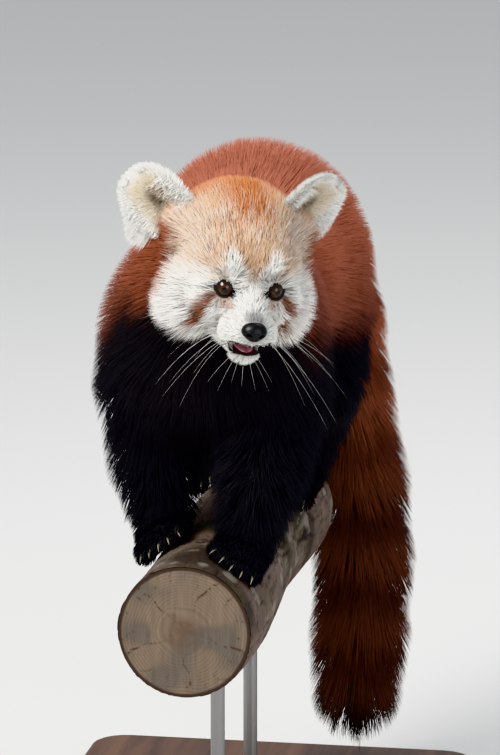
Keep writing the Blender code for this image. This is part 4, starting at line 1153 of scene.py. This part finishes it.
EAR_PATCH = {"left": 0.80, "right": 0.90, "low": 0.90}  # the ears' corner of the unwrap
EARS = {  # in the head's frame: middle of the root, tip, and the way the cup faces
    "left": {"root": (4.2, 1.7, 3.8), "tip": (7.0, 1.9, 7.6), "face": (0.50, -0.84, 0.15)},
    "right": {"root": (-5.2, 1.8, 3.4), "tip": (-8.9, 3.2, 6.5), "face": (-0.30, -0.92, 0.2)},
}
EAR_HALF_WIDTH, EAR_CUP, EAR_THICK = 2.05, 1.25, 0.42
EAR_LEAN = 0.45  # from the root's line to the rim, towards the cup's opening


def ear_frame(name):
    """An ear's root and length, and the ways up it, out of its cup and across it."""
    ear = EARS[name]
    root, tip = np.array(ear["root"]), np.array(ear["tip"])
    up = unit(tip - root)
    face = unit(np.array(ear["face"]) - up * np.dot(ear["face"], up))
    return root, np.linalg.norm(tip - root), up, face, np.cross(up, face)


def ear_points(name, across, along, out):
    """Places on an ear in metres: across from -1 to 1, along from root to tip, out of its cup."""
    root, length, up, face, side = ear_frame(name)
    width = EAR_HALF_WIDTH * (0.86 + 0.5 * along) * np.sqrt(np.maximum(1 - along ** 2.6, 0.0))
    cup = EAR_CUP * (1 - 0.75 * along) * (1 - across * across)
    place = root + up * (length * along)[:, None] + side * (width * across)[:, None]
    return on_heads(place + face * (EAR_LEAN - cup + out)[:, None])


def make_ear(name, columns=28, rows=24):
    """A cupped ear as one closed shell, pale inside with a dark hollow."""
    row, column = np.meshgrid(np.arange(rows + 1), np.arange(columns + 1), indexing="ij")
    along = np.sin(0.5 * math.pi * row.ravel() / rows)
    across = -1 + 2 * column.ravel() / columns
    thick = EAR_THICK * 0.8 * (1 - 0.5 * along) * (1 - 0.6 * across ** 4)
    sides = [ear_points(name, across * 0.97, along * 0.98, -0.04 - thick * layer) for layer in (0, 1)]
    size = row.size
    grid = np.arange(size).reshape(row.shape)
    quads = np.stack([grid[:-1, :-1], grid[:-1, 1:], grid[1:, 1:], grid[1:, :-1]], -1).reshape(-1, 4)
    rim = np.concatenate([grid[:, 0], grid[-1, 1:], grid[-2::-1, -1], grid[0, -2:0:-1]])
    after = np.roll(rim, -1)
    band = np.stack([rim, after, after + size, rim + size], 1)
    faces = np.concatenate([quads, quads[:, ::-1] + size, band[:, ::-1]])
    # the shell takes the hair's colours a little darker: painted shade beneath the hair
    inner = blend(CREAM * 0.8, EAR_DARK * 0.7, ear_dark(across, along))
    edge = smooth(np.maximum(np.abs(across), along ** 3), 0.6, 0.85)
    outer = blend(EAR_BACK * 0.8, WHITE * 0.9, edge)
    tint = np.concatenate([inner, outer])
    return close_mesh(mesh_object("ear_shell_" + name, np.concatenate(sides), faces, tint))


def ear_dark(across, along):
    """The dark hollow in the middle of the cup."""
    return np.exp(-((across + 0.12) / 0.26) ** 2 - ((along - 0.46) / 0.17) ** 2)


# Each kind of ear hair: its share, where it grows across (from the inner edge at -1 to the outer at 1)
# and along the ear, how far out of the cup, its lie away from the head, up and out, its length and depth.
EAR_HAIRS = 14500
EAR_FUR = {
    "cup": (0.31, (-0.95, 0.95), (0.02, 0.97), -0.03, (0.25, 0.35, 0.05), 0.80, 0.26),
    "rim": (0.24, (0.86, 1.0), (0.0, 1.0), -0.10, (0.0, 0.1, 0.25), 0.75, 0.20),
    "edge": (0.10, (0.84, 1.0), (0.0, 1.0), -0.34, (0.0, 0.1, -0.3), 0.70, 0.18),
    "sweep": (0.07, (-1.0, 0.3), (0.0, 0.70), -0.02, (1.0, 0.1, 0.1), 0.75, 0.14),
    "base": (0.10, (-0.9, 0.6), (-0.14, 0.16), 0.03, (0.9, 0.1, 0.1), 1.2, 0.34),
    "skirt": (0.11, (0.66, 1.0), (0.12, 0.80), -0.05, (1.0, -0.55, 0.0), 2.3, 0.42),
    "back": (0.08, (-0.96, 0.96), (0.0, 0.90), -0.42, (0.0, 0.5, -0.5), 0.55, 0.22),
}


def ear_coat(name, rng):
    """Hair of one ear: white rim and lower tuft, cream inside with a dark hollow, and a dusky back."""
    root, _, up, face, side = ear_frame(name)
    outer = 1.0 if side[0] * root[0] > 0 else -1.0
    up, face, away = HEAD_TURN @ up, HEAD_TURN @ face, HEAD_TURN @ side * outer
    values = []
    for kind, (share, acrosses, alongs, out, lie, length, depth) in EAR_FUR.items():
        count = int(EAR_HAIRS * share * THINNED)
        across = rng.uniform(*acrosses, count)
        along = alongs[0] + (alongs[1] - alongs[0]) * rng.uniform(0, 1, count) ** 0.8
        turn = 0.5 * math.pi * rng.uniform(0, 1, count)
        on_rim = kind in ("rim", "edge")
        if on_rim:
            across *= np.where(rng.uniform(0, 1, count) < 0.5, 1, -1)
            across = np.where(turn > 1.30, rng.uniform(-1, 1, count), across)
            along = np.sin(turn) ** (1 / 1.3)
        roots = ear_points(name, outer * across * 0.97, np.clip(along, 0, 1) * 0.98, np.full(count, out))
        roots = roots + up[None] * (np.minimum(along, 0) * 4.5 * CM)[:, None]
        if on_rim:
            spin = np.stack([np.sign(across) * np.cos(turn), np.sin(turn)], 1)
        else:
            spin = np.stack([across, (along - 0.40) * 1.7], 1)
            spin /= np.maximum(np.linalg.norm(spin, axis=1, keepdims=True), 0.25)
            spin *= 1.0 if kind == "cup" else 0.15
        rise = HEAD_TURN[:, 2] if kind in ("base", "skirt") else up
        lies = away * (spin[:, :1] + lie[0]) + rise * lie[1] + up * spin[:, 1:] + face * lie[2]
        bowl = 0.8 * across * (kind == "cup")  # the cup's own slope, which its hair follows
        lies = lies + face * (bowl * (spin[:, 0] + lie[0]))[:, None]
        front = -1.0 if kind in ("back", "edge") else 1.0
        outs = units(face * front + away * (across * 0.45 * (kind != "cup") - bowl * 0.7)[:, None])
        reach = np.maximum(np.abs(across), np.maximum(along, 0) ** 3)
        tint = WHITE
        if kind in ("cup", "sweep"):
            tint = layers(tint, (CREAM, fade(reach, 0.35, 0.85) * 0.85),
                          (EAR_DARK, ear_dark(across, along) * 0.9))
        if kind == "back":
            tint = blend(tint, EAR_BACK, fade(np.maximum(reach, along), 0.6, 0.82))
        tint = tint * rng.uniform(0.86, 1.06, (count, 1))
        patch = EAR_PATCH[name] + 0.045 * (1 + across), EAR_PATCH["low"] + 0.08 * np.clip(along, 0, 1)
        lengths = length * rng.uniform(0.65, 1.15, count) * CM
        if kind == "skirt":
            lengths *= 1 - 0.65 * smooth(along, 0.30, 0.75)
        values.append((roots, outs, lies, np.full(count, depth * CM), lengths, tint, np.stack(patch, 1)))
    joined = [np.concatenate(parts) for parts in zip(*values)]
    return coat_piece("coat_ear_" + name, *joined, STYLES["ear"], rng)


def whisker_lines(rng):
    """Root, first aim, length and droop of each whisker, in the head's frame."""
    lines = []
    for side in (1, -1):
        for row, place in np.ndindex(3, 3):
            root = (side * (1.55 + 0.12 * place), -6.75 + 0.6 * place, -2.1 - 0.36 * row)
            aim = (side, -0.5 + 0.4 * place, 0.05 - 0.28 * row)
            lines.append((root, aim, rng.uniform(4.0, 6.6), rng.uniform(0.7, 1.5)))
        for place in range(3):
            root = (side * (1.5 + 0.3 * place), -4.4 + 0.1 * place, 2.7)
            lines.append((root, (side * 0.7, -0.6, 0.9), rng.uniform(2.0, 3.0), 0.5))
        for place in range(2):
            root = (side * 3.2, -3.6 + 0.5 * place, -2.9)
            lines.append((root, (side, -0.2, -0.5), rng.uniform(3, 4), 0.6))
    for place in range(-3, 4):
        lines.append(((place * 0.35, -6.0, -4.6), (place * 0.28, -0.4, -0.9), rng.uniform(2.0, 3.2), 0.4))
    return lines


def make_whiskers(rng, steps=14, sides=4):
    """Long, thin white whiskers that droop from the muzzle's sides, the brows, the cheeks and the chin."""
    points, faces = [], []
    down = HEAD_TURN.T @ np.array([0, 0.35, -1.0])
    for root, aim, length, droop in whisker_lines(rng):
        start = np.array(root) - unit(aim) * 0.3
        way = unit(unit(aim) + rng.normal(0, 0.10, 3))
        turn = unit(np.cross(way, down))
        lift = unit(np.cross(way, turn))
        base = len(points)
        rings = []
        for share in np.arange(steps + 1) / steps:
            centre = start + way * length * share + down * droop * length * share ** 2 * 0.5
            rings.append((centre, turn, lift, 0.0105 * (1 - share) ** 0.7 + 0.003))
        add_tube(points, faces, rings, sides)
        faces.append(tuple(base + c for c in (3, 2, 1, 0)))
        faces.append(tuple(base + steps * sides + c for c in (0, 1, 2, 3)))
    return mesh_object("whiskers", on_heads(np.array(points)), faces, colour(236, 234, 228))


def make_claws(steps=8, sides=8):
    """Pale, curved claws, one from the end of each toe."""
    points, faces = [], []
    for pair, places in (("fore", FRONT_PAWS), ("hind", HIND_PAWS)):
        for (name, side), toe in itertools.product(SIDES.items(), range(-2, 3)):
            tip = toe_tip(side, places[name], PAW_LENGTHS[pair], toe)
            turn = paw_turn(side)
            ahead, down = turn @ unit((0.12 * toe, -1, 0.12)), turn @ np.array([0, 0, -1.0])
            flank = unit(np.cross(ahead, down))
            rings = []
            for share in np.arange(steps + 1) / steps:
                centre = tip + ahead * (1.45 * share) * CM + down * (0.55 * share ** 2 - 0.12) * CM
                up = unit(np.cross(flank, ahead - down * 0.7 * share))
                rings.append((centre, flank * 0.7, up, (0.19 * (1 - share) ** 0.7 + 0.012) * CM))
            add_tube(points, faces, rings, sides)
    return close_mesh(mesh_object("claws", points, faces, colour(150, 140, 122)), sides)


# Perch and stand

def perch_line(share):
    """The branch's middle line, slightly bowed, and its radius there."""
    first, last = PERCH_ENDS
    y = first + (last - first) * share
    bow = 0.25 * np.sin(2.4 * math.pi * share)
    radius = PERCH_RADIUS * (1.03 - 0.06 * share + 0.012 * np.sin(9.0 * share))
    return np.stack([bow * CM, y * CM + FRONT_FEET_Y, PERCH_TOP - radius - 0.0004], -1), radius


def cracks(places, first, second, seeds):
    """Two nets of cracks in bark, wide and fine, as distances from their lines."""
    return [np.abs(noise(places, size, seed) - 0.5) for size, seed in zip((first, second), seeds)]


def round_branch(angle):
    """Ways out from the branch's line."""
    return np.stack([np.cos(angle), np.zeros_like(angle), np.sin(angle)], 1)


def make_branch(rings=270, sides=190):
    """The perch's weathered bark: long cracks, low plates and worn ridges."""
    share, angle, faces = tube_grid(rings, sides)
    centre, radius = perch_line(share)
    way = round_branch(angle)
    even = centre + way * radius[:, None]
    stretched = even * np.array([1, 0.09, 1]) + ragged(even, (1.6, 30, 0.006))[:, None]
    fine = even * np.array([1, 0.35, 1])
    crack, second = cracks(stretched, 1.05, 0.36, (31, 32))
    crack = crack + 0.10 * smooth(noise(even, 2.4, 38), 0.45, 0.6)
    relief = -0.16 * hump(crack, 0.035) - 0.06 * hump(second, 0.06)
    relief += ragged(even, (2.6, 33, 0.10)) + ragged(fine, (0.5, 34, 0.05))
    relief += ragged(fine, (0.18, 35, 0.02))
    relief = np.minimum(relief, 0.03) * (1 - 0.55 * smooth(way[:, 2], 0.45, 0.75)) - 0.03
    points = centre + way * (radius + relief * CM)[:, None]
    return mesh_object("bark", points, faces, bark_tint(even, crack, second, way))


KNOT = {"share": 0.16, "aim": (-0.85, -0.2, -0.35), "radii": (0.019, 0.012), "from": 0.95, "long": 0.030}
KNOT_SHOULDER = 0.86  # the share of its length where its end begins to round over


def make_knot(rings=50, sides=90):
    """The stub of a broken side branch, its end rounded over."""
    centre, radius = perch_line(KNOT["share"])
    aim = unit(KNOT["aim"])
    flank = unit(np.cross(aim, (0, 1, 0)))
    share, angle, faces = tube_grid(rings, sides)
    way = flank * np.cos(angle)[:, None] + np.cross(aim, flank) * np.sin(angle)[:, None]
    first, last = KNOT["radii"]
    stem, end = np.minimum(share / KNOT_SHOULDER, 1), smooth(share, KNOT_SHOULDER, 1.0)
    size = (first + (last - first) * stem) * np.sqrt(np.maximum(1 - end, 0.0))
    along = radius * KNOT["from"] + KNOT["long"] * (stem - 0.5) + 0.002 * end
    places = centre + aim * along[:, None] + way * size[:, None]
    crack, second = cracks(places, 0.7, 0.3, (36, 37))
    relief = -0.05 * hump(crack, 0.05) - 0.03 * hump(second, 0.06)
    places = places + way * ((relief * (1 - end)) * CM)[:, None]
    return mesh_object("knot", places, faces, bark_tint(places, crack, second, way))


def bark_tint(places, crack, second, way):
    """Grey-brown bark with dark cracks, their own darker bark with painted shade in them, a little green on
    top and a few pale patches.
    """
    tint = layers(
        colour(96, 82, 74),
        (colour(132, 114, 104), noise(places, 1.7, 41) * 0.8),
        (colour(64, 54, 48), smooth(noise(places, 3.4, 42), 0.5, 0.75)),
        (colour(150, 144, 132), smooth(noise(places, 1.2, 43), 0.66, 0.8) * 0.6),
        (colour(88, 84, 56), smooth(noise(places, 2.2, 44), 0.62, 0.8) * (way[:, 2] > -0.2) * 0.35),
        # the cracks: their own darker bark, with painted shade in them
        (colour(30, 22, 18), hump(crack, 0.045)),
        (colour(48, 37, 30), hump(second, 0.05) * 0.6),
    )
    return tint * (0.8 + 0.4 * noise(places, 0.15, 45))[:, None]


def make_sawn_end(name, share, back, rings=44, sides=190):
    """A sawn face with growth rings, a few radial checks and a rim of bark."""
    centre, radius = perch_line(share)
    out, angle, faces = tube_grid(rings, sides)
    out = np.sqrt(out)
    way = round_branch(angle)
    places = centre + way * (radius * out * 0.985)[:, None]
    wobble = noise(places, 1.5, 51) * 0.10
    growth = 0.5 + 0.5 * np.sin((out + wobble) ** 0.85 * 150)
    split = np.abs(np.sin(angle * 2.5 + 1.1 * noise(places, 1.0, 52)))
    fine = np.abs(np.sin(angle * 8.5 + 2.0 * noise(places, 1.3, 55)))
    checks = hump(split, 0.03) * smooth(out, 0.2, 0.55)
    checks = np.maximum(checks, hump(fine, 0.05) * smooth(out, 0.62, 0.85) * 0.7)
    lift = -0.03 * checks + 0.006 * growth
    places[:, 1] += (0.02 - lift) * CM * (1 if back else -1)
    tint = layers(
        colour(124, 108, 92),
        (colour(86, 70, 58), growth * 0.45),
        (colour(92, 72, 58), fade(out, 0.0, 0.45) * 0.8),
        (colour(84, 80, 76), smooth(noise(places, 1.8, 53), 0.4, 0.75) * 0.6),
    )
    tint = tint * (0.85 + 0.3 * noise(places * np.array([1, 1, 0.06]), 0.10, 54))[:, None]
    # the checks darker, their own colour with painted shade in them, then the rim of bark
    tint = layers(tint, (colour(60, 40, 28), checks), (colour(60, 46, 38), smooth(out, 0.93, 0.965)))
    order = [0, 3, 2, 1] if back else [1, 2, 3, 0]  # so that the faces look out of the branch
    return mesh_object(name, places, faces[:, order], tint)


def wood_material():
    """Dark oiled walnut with a fine grain along the board."""
    material = new_material("base_walnut")
    grain = noise_node(material, (1.0, 0.07, 1.0), {"Scale": 60.0, "Detail": 8.0, "Distortion": 0.6})
    ramp = new_node(material, "ValToRGB", {}, Fac=(grain, "Fac"))
    stops = (0.32, colour(58, 36, 26)), (0.68, colour(110, 74, 50))
    for stop, (place, tint) in zip(ramp.color_ramp.elements, stops):
        stop.position = place
        stop.color = (*tint, 1)
    new_node(material, "Principled BSDF", {"Roughness": 0.38}, Base_Color=(ramp, "Color"),
             Normal=(bump_node(material, grain, 0.12, 0.0005), "Normal"))
    return material


def steel_material():
    """Brushed steel, with fine rings round the rod."""
    material = new_material("rod_brushed")
    brushed = noise_node(material, (0.05, 0.05, 1.0), {"Scale": 3000.0})
    rough = new_node(material, "MapRange", {"To Min": 0.34, "To Max": 0.5}, Value=(brushed, "Fac"))
    values = {"Metallic": 1.0, "Base Color": (0.34, 0.335, 0.33, 1)}
    new_node(material, "Principled BSDF", values, Roughness=(rough, "Result"))
    return material


# Camera, floor and light

def view_axes():
    """The ways right, up and back from the camera."""
    azimuth, elevation = math.radians(VIEW_AZIMUTH), math.radians(VIEW_ELEVATION)
    back = np.array([math.sin(azimuth) * math.cos(elevation), -math.cos(azimuth) * math.cos(elevation),
                     math.sin(elevation)])
    right = np.array([math.cos(azimuth), math.sin(azimuth), 0])
    return right, np.cross(back, right), back


def make_camera():
    """Looks at the animal as the photograph does, with the head at its place in the frame."""
    right, up, back = view_axes()
    wide, high = PHOTO_SIZE
    aim = at(*HEAD_MIDDLE) + right * (wide / 2 - HEAD_PIXEL[0]) / PIXELS_PER_METRE
    aim = aim - up * (high / 2 - HEAD_PIXEL[1]) / PIXELS_PER_METRE
    data = bpy.data.cameras.new("camera")
    camera = add_object("camera", data)
    turn = Matrix(np.stack([right, up, back], 1)).to_4x4()
    camera.matrix_world = Matrix.Translation(Vector(aim + back * VIEW_DISTANCE)) @ turn
    data.sensor_width = 36.0
    data.lens = data.sensor_width * PIXELS_PER_METRE * VIEW_DISTANCE / high
    bpy.context.scene.camera = camera


def make_floor():
    bm = bmesh.new()
    bmesh.ops.create_grid(bm, x_segments=2, y_segments=2, size=25.0)
    floor = object_from_bmesh("floor", bm)
    material = new_material("floor_pale")
    new_node(material, "Principled BSDF", {"Base Color": (0.78, 0.77, 0.75, 1), "Roughness": 0.8})
    give(floor, material)


def area_light(name, place, aim, size, power, tint):
    data = bpy.data.lights.new(name, "AREA")
    data.shape = "DISK"
    data.size = size
    data.energy = power
    data.color = tint
    light = add_object(name, data)
    light.location = place
    light.rotation_euler = (Vector(place) - Vector(aim)).to_track_quat("Z", "Y").to_euler()


def make_light():
    """Soft daylight from high on the left, a broad fill and a rim from behind."""
    middle = (0.03, 0.0, 0.4)
    area_light("key", (-1.1, -1.7, 2.5), middle, 1.4, 78, (1.0, 0.985, 0.96))
    area_light("fill", (1.9, -1.9, 1.2), middle, 1.8, 20, (0.95, 0.97, 1.0))
    area_light("rim", (0.5, 1.5, 2.6), middle, 1.4, 24, (1.0, 0.99, 0.97))
    world = bpy.context.scene.world or bpy.data.worlds.new("world")
    bpy.context.scene.world = world
    world.use_nodes = True
    back = world.node_tree.nodes["Background"]
    back.inputs["Color"].default_value = (0.86, 0.90, 0.95, 1)
    back.inputs["Strength"].default_value = 0.6


def dress_body():
    skin = make_skin()
    points = coordinates(skin)
    depth, lie, parts = muscle_weights(points)
    # the skin takes the coat's markings at 0.55 of their brightness: painted shade beneath the hair
    add_colours(skin.data, face_skin_details(points, markings(points, parts) * 0.55))
    unwrap = unwrap_of(skin, parts)
    flat = np.zeros((len(skin.data.loops), 2))
    flat[triangles_of(skin, "loops").ravel()] = unwrap.reshape(-1, 2)
    add_bake_map(skin.data, flat)
    flesh_nodes = [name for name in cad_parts
                   if any(word in name for word in ("torso", "neck", "head", "tail", "leg", "paw"))]
    put(skin, tinted_material("skin", 0.6, bump=0.3), *flesh_nodes, slot="rust_coat")
    fur = tinted_material("fur", 0.62, specular=0.16)
    slots = {"face": "face_coat", "leg": "black_coat", "back": "rust_coat"}
    for piece in grow_coat(skin, depth, lie, parts, unwrap):
        put(piece, fur, slot=slots[piece.name.split("_")[1]])
    return fur


def dress_head(fur):
    rng = np.random.default_rng(23)
    glass = tinted_material("eye_glass", 0.3, coat=1.0, specular=0.1)
    for name, side in SIDES.items():
        put(make_eye("eyeball_" + name, side), glass, "eye_" + name, slot="eye_glass")
        shell = tinted_material("ear_skin_" + name, 0.6, bump=0.2)
        put(make_ear(name), shell, "ear_" + name, slot="white_coat")
        put(ear_coat(name, rng), fur, slot="white_coat")
    leather = tinted_material("nose_leather", 0.34, coat=0.1, bump=0.35, bump_scale=1500.0, specular=0.4)
    put(make_nose(), leather, "nose_pad", slot="nose_leather")
    wet = tinted_material("tongue", 0.28, coat=0.4, bump=0.3, bump_scale=2200.0)
    put(make_tongue(), wet, "tongue", slot="tongue_skin")
    put(make_whiskers(rng), tinted_material("whisker", 0.4), slot="whisker")
    put(make_claws(), tinted_material("claw_horn", 0.3, coat=0.2), slot="claw_horn")


def dress_stand():
    bark = tinted_material("bark", 0.82, bump=0.5, bump_scale=420.0)
    put(make_branch(), bark, "perch_branch", slot="bark")
    put(make_knot(), bark, slot="bark")
    put(make_sawn_end("sawn_front", 0.0, False), bark, slot="bark")
    put(make_sawn_end("sawn_back", 1.0, True), bark, slot="bark")
    give(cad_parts["stand_base"], wood_material())
    for name in ("stand_rod_front", "stand_rod_back"):
        give(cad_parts[name], steel_material())


bpy.context.scene.view_settings.view_transform = "Khronos PBR Neutral"
make_camera()
dress_head(dress_body())
dress_stand()
make_floor()
make_light()
